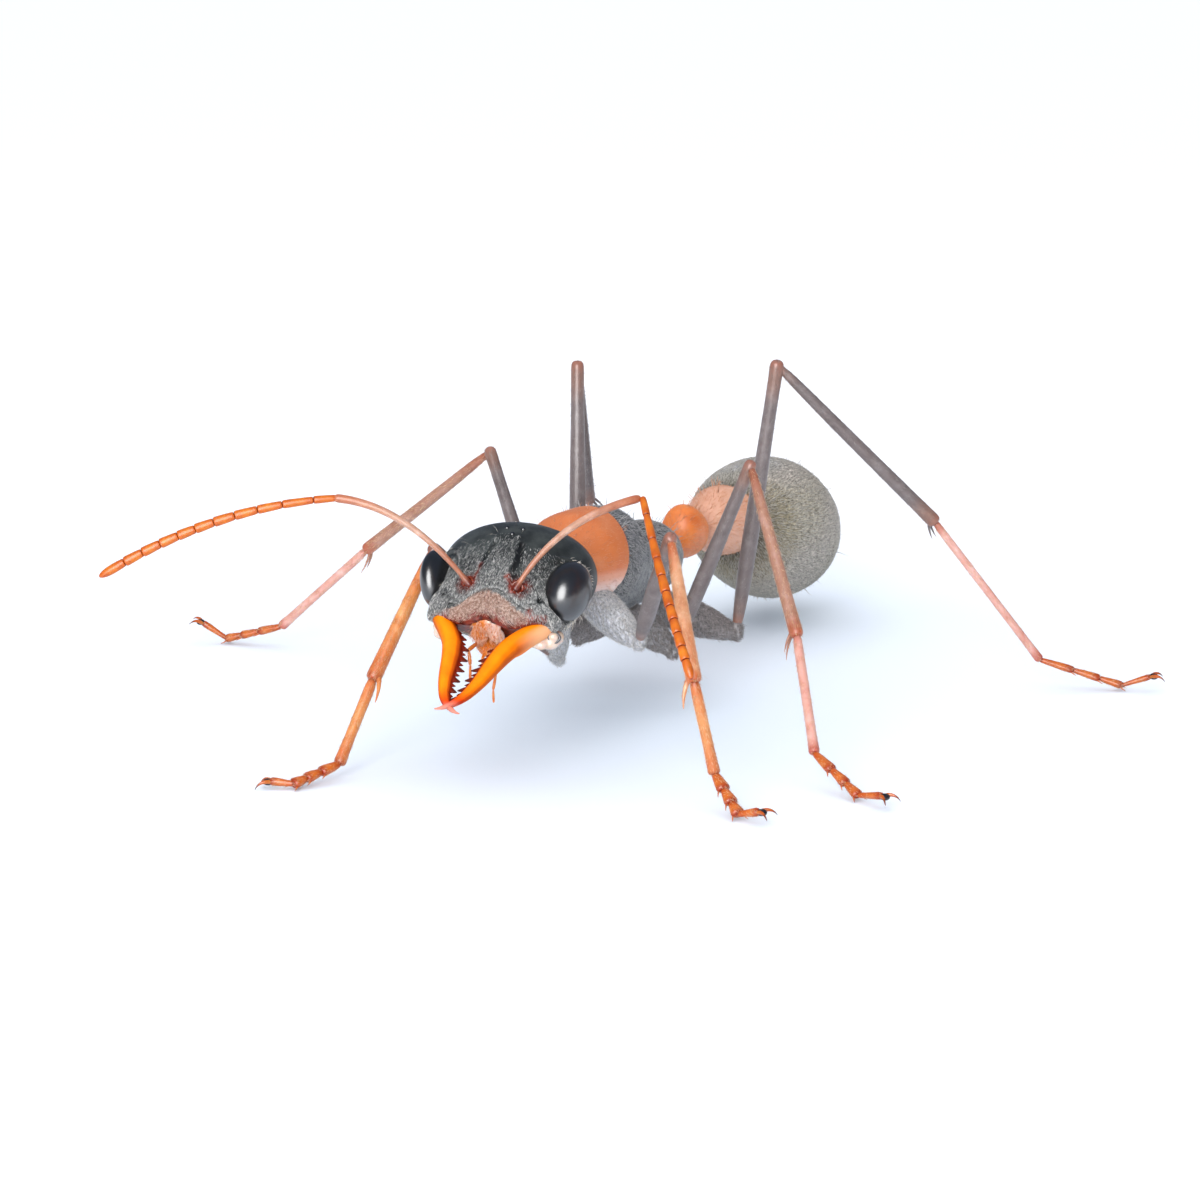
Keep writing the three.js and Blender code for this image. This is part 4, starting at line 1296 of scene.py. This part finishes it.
# The pieces of one pair of legs, each standing up from the floor, x towards the inside of the knee.
def legModels(pair):
    size = legs["width"][pair]
    lengths = legs["lengths"][pair]
    f, t, h = size["femur"], size["tibia"], size["heel"]
    femur, tibia, heel = lengths["femur"], lengths["tibia"], lengths["heel"]
    models = {}
    models["femur"] = growTube("femur",
                               [(0.12, 0.03), (0.16, f * 0.6), (0.3, f * 0.72), (femur * 0.2, f * 0.96, f),
                                (femur * 0.4, f * 1.02, f * 1.08),
                                (femur * 0.62, f * 0.92, f), (femur * 0.82, f * 0.8, f * 0.84),
                                (femur - 0.12, f * 0.84), (femur - 0.03, f * 0.9, f * 0.84),
                                (femur + 0.05, f * 0.8, f * 0.76), (femur + 0.09, f * 0.4)], 14, 2)
    models["tibia"] = growTube("tibia",
                               [(-0.03, 0.03), (0.0, t * 0.5), (0.07, t * 0.62, t * 0.6),
                                (0.16, t * 0.6, t * 0.58, -0.01), (0.3, t * 0.78, t * 0.74, -0.01),
                                (tibia * 0.35, t * 0.92, t * 0.88), (tibia * 0.7, t, t * 0.95),
                                (tibia - 0.15, t * 1.08, t * 1.02),
                                (tibia - 0.04, t * 1.14, t * 1.08), (tibia, t * 0.95, t * 0.9),
                                (tibia + 0.02, t * 0.5)], 14, 2)
    models["heel"] = growTube("heel",
                              [(-0.02, 0.02), (0.0, h * 0.6), (0.05, h * 0.82, h * 0.8),
                               (0.16, h * 0.98, h * 0.92, 0.008), (heel * 0.5, h * 0.9, h * 0.86),
                               (heel - 0.14, h * 0.96, h * 0.92), (heel - 0.03, h * 1.14, h * 1.1),
                               (heel, h * 0.9), (heel + 0.015, h * 0.4)], 12, 1)
    return models


def spur(length, half, curve=0.25):
    rings = [(-0.02, half * 0.9), (0.02, half),
             (length * 0.35, half * 0.8, half * 0.8, curve * length * 0.1),
             (length * 0.7, half * 0.5, half * 0.5, curve * length * 0.45),
             (length, half * 0.12, half * 0.12, curve * length)]
    return growTube("spur", rings, 8, 1)


# The finish that each part of a leg wears.
def legLook(part, name):
    isFront = name.startswith("front")
    if part == "coxa":
        return "coxa" if isFront else "coxaBack"
    if part == "femur" or (part == "tibia" and name.startswith("hind")):
        return "darkLeg"
    if part == "tibia":
        # the front right shin wears the heel's amber; the front left one wears the paler shin finish,
        # painted light for the bright gloss along it
        return "heel" if name == "front_right" else "shin" if isFront else "shinBack"
    return "heelBack" if part == "heel" and not isFront else part


def buildLeg(name):
    pair = name.split("_")[0]
    joints = legJoints(name)
    models = legModels(pair)
    size = legs["width"][pair]
    shin = (joints["ankle"] - joints["knee"]).normalized()
    inside = (joints["trochanter"] + joints["ankle"]) / 2 - joints["knee"]
    inside = (inside - shin * inside.dot(shin)).normalized()
    made = {}
    # coxa: a blunt cone from the body to the ring that carries the thigh
    reach = (joints["trochanter"] - joints["hip"]).length / mm
    c, f, t, h = size["coxa"], size["femur"], size["tibia"], size["heel"]
    coxa = growTube("coxa", [(-0.1, c * 0.7, c * 0.6), (0.05, c * 0.98, c * 0.9),
                             (reach * 0.4, c * 1.0, c * 0.95), (reach * 0.75, c * 0.72, c * 0.7),
                             (reach - 0.12, c * 0.5), (reach - 0.03, f * 0.95), (reach, f * 0.6)], 18, 2)
    layAlong(coxa, joints["hip"], joints["trochanter"], inside)
    direction = (joints["knee"] - joints["trochanter"]).normalized()
    ring = growTube("trochanter", [(-0.12, f * 0.4), (-0.08, f * 0.75, f * 0.72), (0.02, f * 0.85, f * 0.8),
                                   (0.12, f * 0.78, f * 0.74), (0.2, f * 0.6), (0.23, f * 0.3)], 14, 2)
    layAlong(ring, joints["trochanter"], joints["trochanter"] + direction * 0.3 * mm, inside)
    made["coxa"] = joinAll([coxa, ring], "coxa_" + name)
    made["femur"] = layAlong(copyOf(models["femur"], "femur_" + name), joints["trochanter"], joints["knee"],
                             inside)
    made["tibia"] = layAlong(copyOf(models["tibia"], "tibia_" + name), joints["knee"], joints["ankle"],
                             inside)
    made["heel"] = layAlong(copyOf(models["heel"], "heel_" + name), joints["ankle"], joints["heel"], inside)
    # spurs at the end of the shin
    inward = Vector((-legs["stance"][name]["side"], 0, 0))
    inward = (inward - shin * inward.dot(shin)).normalized()
    sideways = shin.cross(inward).normalized()
    spurs = []
    lengths = (0.42,) if pair == "front" else (0.38, 0.3)
    for i, length in enumerate(lengths):
        spread = (0.25, -0.35)[i] if len(lengths) > 1 else 0.1
        model = spur(length, 0.044 if pair == "front" else 0.026)
        start = joints["ankle"] - shin * 0.05 * mm + inward * t * 0.8 * mm + sideways * spread * 0.1 * mm
        ahead = (shin * 0.85 + inward * (0.55 if pair == "front" else 0.8)
                 + sideways * spread * 0.4).normalized()
        spurs.append(layAlong(model, start, start + ahead * length * mm, -inward))
    made["tibia"] = joinAll([made["tibia"]] + spurs, "tibia_" + name)
    made["foot"] = buildFoot(name, joints, h)
    for model in models.values():
        discard(model)
    for part, piece in made.items():
        look = legLook(part, name)
        slot = "leg_grey" if look in ("coxa", "coxaBack", "darkLeg") else "leg_orange"
        finishPiece(piece, finishes[look], slot, part + "_" + name)
    return made


# Three short joints, the slim last one, two hooked claws and the pad between them.
def buildFoot(name, joints, h):
    up = Vector((0, 0, 1))
    heel, toe, claw = joints["heel"], joints["toe"], joints["claw"]
    pieces = []
    gone = 0
    shares = (0.4, 0.32, 0.28)
    length = (toe - heel).length / mm
    ahead = (toe - heel).normalized()
    flat = ahead.cross(up).normalized()
    for share in shares:
        size = share * length
        rings = [(-0.01, h * 0.4), (0.015, h * 0.62), (size * 0.3, h * 0.82, h * 0.74),
                 (size * 0.75, h * 1.12, h * 0.9), (size - 0.02, h * 1.26, h * 0.92),
                 (size + 0.01, h * 0.95, h * 0.72), (size + 0.02, h * 0.4)]
        joint = growTube("joint", rings, 12, 1)
        start = heel + ahead * gone * mm
        end = heel + ahead * (gone + size) * mm
        pieces.append(layAlong(joint, start, end, flat))
        for side in (1, -1):
            thorn = spur(0.12, 0.014, 0.1)
            root = end - ahead * 0.03 * mm + flat * side * h * 0.8 * mm - up * h * 0.35 * mm
            tipAt = root + (ahead * 0.8 + flat * side * 0.45 - up * 0.3).normalized() * 0.12 * mm
            tipAt.z = max(tipAt.z, 0.008 * mm)
            pieces.append(layAlong(thorn, root, tipAt, up))
        gone += size
    last = (claw - toe).normalized()
    reach = (claw - toe).length / mm - 0.13
    rings = [(-0.02, h * 0.35), (0.01, h * 0.5), (reach * 0.4, h * 0.56), (reach * 0.85, h * 0.8, h * 0.76),
             (reach, h * 0.7, h * 0.66), (reach + 0.02, h * 0.3)]
    joint = growTube("joint", rings, 12, 1)
    pieces.append(layAlong(joint, toe, toe + last * reach * mm, last.cross(up)))
    end = toe + last * reach * mm
    flat = last.cross(up).normalized()
    hooks = []
    for side in (1, -1):
        hook = growTube("hook", [(-0.02, 0.024), (0.02, 0.036, 0.032), (0.08, 0.032, 0.028, -0.016),
                                 (0.15, 0.024, 0.02, -0.008), (0.21, 0.015, 0.013, 0.03),
                                 (0.24, 0.005, 0.005, 0.085)], 8, 1)
        hooks.append(layAlong(hook, end + flat * side * 0.035 * mm,
                              end + (last * 0.8 + flat * side * 0.6 - up * 0.12).normalized() * 0.24 * mm,
                              -up))
    pad = ball("pad", (0.075, 0.07, 0.05), 16)
    stroke(pad, [(0, -0.05, 0)], 0.01, 0.05, (0, -0.015, -0.01))
    noteShape(pad)
    smooth(pad, 0)
    placeBy(pad, Matrix.Translation(end + last * 0.05 * mm - up * 0.015 * mm))
    pad.name = "pad_" + name
    finishPiece(pad, finishes["claw"], "leg_grey")
    finishPiece(joinAll(hooks, "claws_" + name), finishes["hook"], "leg_orange")
    return joinAll(pieces, "foot_" + name)


legParts = {name: buildLeg(name) for name in legs["stance"]}
print("legs made")

coat = {
    "seed": 11,
    # half width of a hair's patch on the flat map, and the margin round each skin's cell
    "patch": 0.0015, "margin": 0.012,
    # each part of a leg: where it runs from and to, how many hairs, their length and half width
    "legs": {"coxa": ("hip", "trochanter", 3600, 0.075, 0.0032),
             "femur": ("trochanter", "knee", 500, 0.07, 0.002),
             "tibia": ("knee", "ankle", 700, 0.07, 0.0022), "heel": ("ankle", "heel", 420, 0.06, 0.0022),
             "foot": ("heel", "claw", 420, 0.05, 0.0022)},
    "gaster": {"gaster_1": 19000, "gaster_2": 8000, "gaster_3": 4500, "gaster_4": 2200},
    "backward": (0, 1, -0.15),
    "downward": (0, 0.75, -0.6),
}


def everywhere(places, outward):
    return np.ones(len(places))


# Spots spread evenly over a skin, as thick on the ground as thick(places, outward) says.
def rootsOn(piece, count, thick, random):
    mesh = piece.data
    mesh.calc_loop_triangles()
    corners = np.empty(len(mesh.loop_triangles) * 3, np.int32)
    mesh.loop_triangles.foreach_get("vertices", corners)
    corners = corners.reshape(-1, 3)
    places, outward = points(piece), normals(piece)
    faces = places[corners]
    area = np.linalg.norm(np.cross(faces[:, 1] - faces[:, 0], faces[:, 2] - faces[:, 0]), axis=1)
    weight = area * np.clip(thick(faces.mean(1), outward[corners].mean(1)), 0, None)
    chosen = random.choice(len(corners), count, p=weight / weight.sum())
    share = random.random((2, count))
    share = np.where(share.sum(0) > 1, 1 - share, share)
    share = np.stack([1 - share.sum(0), share[0], share[1]], 1)[:, :, None]
    root = (faces[chosen] * share).sum(1)
    normal = (outward[corners[chosen]] * share).sum(1)
    turn, rise = noted(piece, "turn")[corners[chosen]], noted(piece, "along")[corners[chosen]]
    turn = np.where((np.ptp(turn, axis=1) > 0.5)[:, None] & (turn < 0.5), turn + 1, turn)
    spot = np.stack([(turn * share[:, :, 0]).sum(1) % 1, (rise * share[:, :, 0]).sum(1)], 1)
    return root, normal / np.linalg.norm(normal, axis=1)[:, None], spot


# Hairs of one layer: bent three-sided spikes that start under the skin. They lie one way, or as
# lie(places, outward) says; lift, bend and stray are in degrees.
def hairsOn(piece, random, count, length, half, lie, thick=everywhere, lift=14, bend=12, stray=14, flat=0.7):
    root, normal, spot = rootsOn(piece, count, thick, random)
    way = np.array(lie(root, normal) if callable(lie) else lie) + np.zeros_like(root)
    way = way - normal * (way * normal).sum(1)[:, None]
    way = way / np.maximum(np.linalg.norm(way, axis=1), 1e-6)[:, None]
    side = np.cross(normal, way)
    swing = np.radians(random.normal(0, stray, count))[:, None]
    way, side = way * np.cos(swing) + side * np.sin(swing), side * np.cos(swing) - way * np.sin(swing)
    reach = (length * mm * random.uniform(0.65, 1.25, count))[:, None]
    wide = (half * mm * random.uniform(0.8, 1.2, count))[:, None]
    up = np.radians(lift + random.normal(0, lift * 0.25, count))[:, None]
    first = way * np.cos(up) + normal * np.sin(up)
    later = up - math.radians(bend)
    second = way * np.cos(later) + normal * np.sin(later)
    base = root - first * wide * 2
    middle = root + first * reach * 0.5
    tip = middle + second * reach * 0.5
    thickness = normal * flat
    ring = [(side, 1.0), (-side, 1.0), (thickness, 1.0)]
    shape = ([base + spread * wide for spread, _ in ring]
             + [middle + spread * wide * 0.8 for spread, _ in ring] + [tip])
    corners = np.array([(-1, -1), (1, -1), (0, 1)]) * coat["patch"]
    patch = np.vstack([corners, corners * 0.5, [(0, 0)]])
    return np.stack(shape, 1), spot, patch


# Joins layers of hair into one piece. Each skin has its own cell of the flat map, so no two share a place.
def growCoat(name, layers, finish, slot):
    random = np.random.default_rng(coat["seed"] + len(name) * 7 + len(layers))
    grid = math.ceil(math.sqrt(len({layer["skin"].name for layer in layers})))
    cells = {}
    shapes, maps = [], []
    for layer in layers:
        settings = {key: value for key, value in layer.items() if key != "skin"}
        shape, spot, patch = hairsOn(layer["skin"], random, **settings)
        cell = cells.setdefault(layer["skin"].name, len(cells))
        corner = np.array([cell % grid, cell // grid]) / grid
        inside = corner + (coat["margin"] + spot * (1 - 2 * coat["margin"])) / grid
        shapes.append(shape)
        maps.append(inside[:, None, :] + patch[None])
    shapes, maps = np.concatenate(shapes), np.concatenate(maps)
    count = len(shapes)
    faces = np.array([(0, 1, 4), (0, 4, 3), (1, 2, 5), (1, 5, 4), (2, 0, 3), (2, 3, 5), (3, 4, 6), (4, 5, 6),
                      (5, 3, 6), (2, 1, 0)])
    loops = (faces[None] + 7 * np.arange(count)[:, None, None]).reshape(-1)
    mesh = bpy.data.meshes.new(name)
    mesh.vertices.add(count * 7)
    mesh.vertices.foreach_set("co", shapes.astype(np.float32).ravel())
    mesh.loops.add(len(loops))
    mesh.loops.foreach_set("vertex_index", loops.astype(np.int32))
    mesh.polygons.add(len(loops) // 3)
    mesh.polygons.foreach_set("loop_start", np.arange(0, len(loops), 3, dtype=np.int32))
    mesh.polygons.foreach_set("use_smooth", np.ones(len(loops) // 3, bool))
    unwrap = mesh.uv_layers.new(name="OFBake")
    unwrap.data.foreach_set("uv", maps.reshape(-1, 2)[loops].astype(np.float32).ravel())
    mesh.update(calc_edges=True)
    mesh.validate()
    piece = bpy.data.objects.new(name, mesh)
    bpy.context.scene.collection.objects.link(piece)
    return finishPiece(piece, finish, slot)


# A direction for each place, from numbers or arrays.
def waysOf(x, y, z):
    return np.stack(np.broadcast_arrays(x, y, z), 1)


def onHead(ways):
    return np.asarray(ways, float) @ np.array(headAt)[:3, :3].T


def inBody(places):
    return (places - np.array(neck)) / mm


def faceThick(places, outward):
    return facePile(inHead(places))


def shieldThick(places, outward):
    return shieldPile(inHead(places))


def faceLie(places, outward):
    across = inHead(places)[:, 0]
    return onHead(waysOf(np.sign(across) * 0.25 * easy(np.abs(across), 0.3, 0.9), -0.35, -1))


def shieldLie(places, outward):
    across = inHead(places)[:, 0]
    return onHead(waysOf(np.sign(across) * (0.35 + 1.2 * np.abs(across)), -0.2, -0.6))


def crownThick(places, outward):
    p = inHead(places)
    return easy(p[:, 2], 0.1, 0.5) * easy(p[:, 1], -0.9, -0.3)


def cheekThick(places, outward):
    p = inHead(places)
    return easy(-p[:, 2], 0.0, 0.25) * easy(-p[:, 1], -0.6, 0.2) * easy(np.abs(p[:, 0]), 0.45, 0.7)


def lipThick(places, outward):
    p = inHead(places)
    front = easy(-outward[:, 1], 0.1, 0.5) * easy(-p[:, 1], 1.05, 1.12)
    return front * easy(0.35 - np.abs(p[:, 0]), 0, 0.05) * easy(p[:, 2], -0.48, -0.4)


def rimThick(places, outward):
    p = inHead(places)
    fur = np.zeros(len(p))
    for side in (1, -1):
        reach = eyeReach(p, side)
        fur += (np.sign(p[:, 0]) == side) * np.exp(-((reach - 1.15) / 0.06) ** 2) * easy(p[:, 1] - p[:, 2],
                                                                                         -0.6, 0.1)
    return fur


def rimLie(places, outward):
    p = inHead(places)
    side = np.where(p[:, 0] > 0, 1, -1)
    away = p - waysOf(side * 0.95, -0.38, 0.2)
    return onHead(away * (0.2, 1, 1) + waysOf(side * 0.5, -0.1, -0.3))


def buildHeadCoat():
    fine = dict(skin=skull, length=0.055, half=0.0021)
    growCoat("facePile", [dict(fine, count=15000, lie=faceLie, thick=faceThick, lift=9, stray=6)],
             finishes["steel"], "head_cuticle")
    growCoat("shieldPile", [dict(fine, count=3200, lie=shieldLie, thick=shieldThick, lift=11, stray=14)],
             finishes["rosy"], "head_cuticle")
    growCoat("lipBristles", [dict(skin=mouthparts, count=320, length=0.12, half=0.0034, lie=faceLie,
                                  thick=lipThick, lift=28, bend=20, stray=22)], finishes["lipHair"],
             "feeler_orange")
    growCoat("headBristles", [
        dict(skin=skull, count=26, length=0.13, half=0.003, lie=faceLie, thick=crownThick, lift=62, bend=20,
             stray=30, flat=1),
        dict(skin=skull, count=110, length=0.16, half=0.0045, lie=faceLie, thick=cheekThick, lift=48,
             bend=25, stray=25, flat=1),
        dict(skin=skull, count=700, length=0.07, half=0.0034, lie=rimLie, thick=rimThick, lift=24, bend=14,
             stray=14),
    ], finishes["pale"], "head_cuticle")


def onTop(places, outward):
    return easy(outward[:, 2], 0.2, 0.8)


def trunkThick(places, outward):
    return 1 - 0.95 * inSuture(inBody(places))


def gasterThick(places, outward):
    p = inBody(places)
    return 0.7 + 0.3 * easy(p[:, 1], 7.0, 7.5)


# Long upright hairs among the pile of a plate.
def bristles(name, count, **changes):
    layer = dict(length=0.22, half=0.0045, lie=coat["backward"], thick=onTop, lift=60, bend=25, flat=1)
    layer.update(changes, skin=plates[name], count=count)
    return layer


def pile(name, count, length, half, **settings):
    return dict(settings, skin=plates[name], count=count, length=length, half=half)


def buildBodyCoat():
    back, down = coat["backward"], coat["downward"]
    growCoat("collarPile", [pile("pronotum", 2200, 0.06, 0.0018, lie=back, lift=9),
                            bristles("pronotum", 22, length=0.17, half=0.003)],
             finishes["peachHair"], "trunk_orange")
    growCoat("trunkPile", [pile("mesonotum", 9500, 0.07, 0.003, lie=down, thick=trunkThick),
                           pile("propodeum", 8500, 0.07, 0.003, lie=down, thick=trunkThick),
                           bristles("mesonotum", 36), bristles("propodeum", 30)],
             finishes["trunkHair"], "trunk_black")
    growCoat("waistPile", [pile("petiole", 1000, 0.08, 0.0022, lie=back),
                           pile("postpetiole", 2200, 0.08, 0.0024, lie=back), bristles("petiole", 26),
                           bristles("postpetiole", 36)],
             finishes["peachHair"], "trunk_orange")
    for name, count in coat["gaster"].items():
        growCoat(name + "_pile", [pile(name, count, 0.09, 0.0028, lie=back, thick=gasterThick, lift=10,
                                       stray=9),
                                  bristles(name, 40, length=0.24, thick=everywhere, lift=45)],
                 finishes["gold"], "gaster_grey")


def buildLegCoat():
    for name, parts in legParts.items():
        joints = legJoints(name)
        isHind = name.startswith("hind")
        # each coat piece of a leg: the start of its name, its finish, its slot, the parts it covers
        tone = "silver" if name.startswith("front") else "ash"
        coats = [(tone, tone, "leg_grey", ("coxa",)),
                 ("grey", "ash", "leg_grey", ("femur", "tibia") if isHind else ("femur",)),
                 ("amberHair", "amberHair", "leg_orange", ("heel", "foot") if isHind
                  else ("tibia", "heel", "foot"))]
        for label, tone, slot, covered in coats:
            layers = []
            for part in covered:
                start, end, count, length, half = coat["legs"][part]
                fine = dict(skin=parts[part], lie=(joints[end] - joints[start]).normalized())
                layers.append(dict(fine, count=count, length=length, half=half, lift=20))
                layers.append(dict(fine, count=count // 24, length=length * 1.3, half=half * 1.1, lift=42,
                                   bend=20, flat=1))
            growCoat(label + "_" + name, layers, finishes[tone], slot)


buildHeadCoat()
print("head coat made")
buildBodyCoat()
print("body coat made")
buildLegCoat()
print("leg coat made")

studio = {
    # the floor is painted bluish under the ant and fades to near white further out, a painted shadow; the
    # tones run from under the ant outwards
    "floor": {"size": 4.0, "reach": 17, "tones": ((0.0, "e0eaf3"), (0.45, "e4edf5"), (1.0, "f9fbfd"))},
    "camera": {"place": (21.2, -41.2, 13.64), "down": 13.834, "turn": 26.15, "lens": 96.98},
    "air": {"tone": "c8dcff", "strength": 0.26},
    # soft boxes near the ant, and wide even light from far above
    "boxes": [{"name": "key", "place": (9, -40, 15), "size": (26, 40), "power": 0.018},
              {"name": "rim", "place": (10, 40, 30), "size": (30, 20), "power": 0.003},
              {"name": "glint", "place": (8.5, -37.5, 14.2), "size": (36, 54), "power": 0.045}],
    "suns": [{"name": "above", "place": (-8, 4, 60), "spread": 115, "power": 1.5, "tone": "fff0dc"},
             {"name": "fill", "place": (-10, -30, 50), "spread": 150, "power": 2.2, "tone": "e8f0ff"}],
}


def aimAtAnt(lamp):
    lamp.rotation_euler = (onBody(0, 1, 2) - lamp.location).to_track_quat("-Z", "Y").to_euler()


def buildStudio():
    deselect()
    bpy.ops.mesh.primitive_plane_add(size=studio["floor"]["size"])
    floor = bpy.context.object
    floor.name = "floor"
    # painted shadow: the floor's colour is bluish under the ant and paler with distance from it
    f = Finish("floorPaintedShadow", Roughness=0.8, Specular_IOR_Level=0.2)
    far = f.add("VectorMath", operation="LENGTH")
    f.link(f.place([1 / (studio["floor"]["reach"] * mm)] * 3), far.inputs[0])
    f.colour(f.ramp(far.outputs["Value"], studio["floor"]["tones"]))
    floor.data.materials.append(f.material)
    for box in studio["boxes"]:
        bpy.ops.object.light_add(type="AREA", location=onBody(*box["place"]))
        lamp = bpy.context.object
        lamp.name = box["name"]
        lamp.data.shape = "ELLIPSE"
        lamp.data.size, lamp.data.size_y = (side * mm for side in box["size"])
        lamp.data.energy = box["power"]
        # one lamp is only the bright spot in the eyes
        lamp.visible_glossy = box["name"] == "glint"
        lamp.visible_diffuse = box["name"] != "glint"
        aimAtAnt(lamp)
    for sun in studio["suns"]:
        bpy.ops.object.light_add(type="SUN", location=onBody(*sun["place"]))
        lamp = bpy.context.object
        lamp.name = sun["name"]
        lamp.data.angle = math.radians(sun["spread"])
        lamp.visible_glossy = False
        lamp.data.energy = sun["power"]
        lamp.data.color = shade(sun["tone"])[:3]
        aimAtAnt(lamp)
    world = bpy.data.worlds.new("studioAir")
    world.use_nodes = True
    world.node_tree.nodes["Background"].inputs["Color"].default_value = shade(studio["air"]["tone"])
    world.node_tree.nodes["Background"].inputs["Strength"].default_value = studio["air"]["strength"]
    bpy.context.scene.world = world
    view = studio["camera"]
    bpy.ops.object.camera_add(location=onBody(*view["place"]),
                              rotation=(math.radians(90 - view["down"]), 0, math.radians(view["turn"])))
    camera = bpy.context.object
    camera.data.lens = view["lens"]
    camera.data.sensor_width = 36
    camera.data.clip_start = 1 * mm
    camera.data.clip_end = 5
    bpy.context.scene.camera = camera
    bpy.context.scene.view_settings.view_transform = "Standard"


buildStudio()
print("studio made")
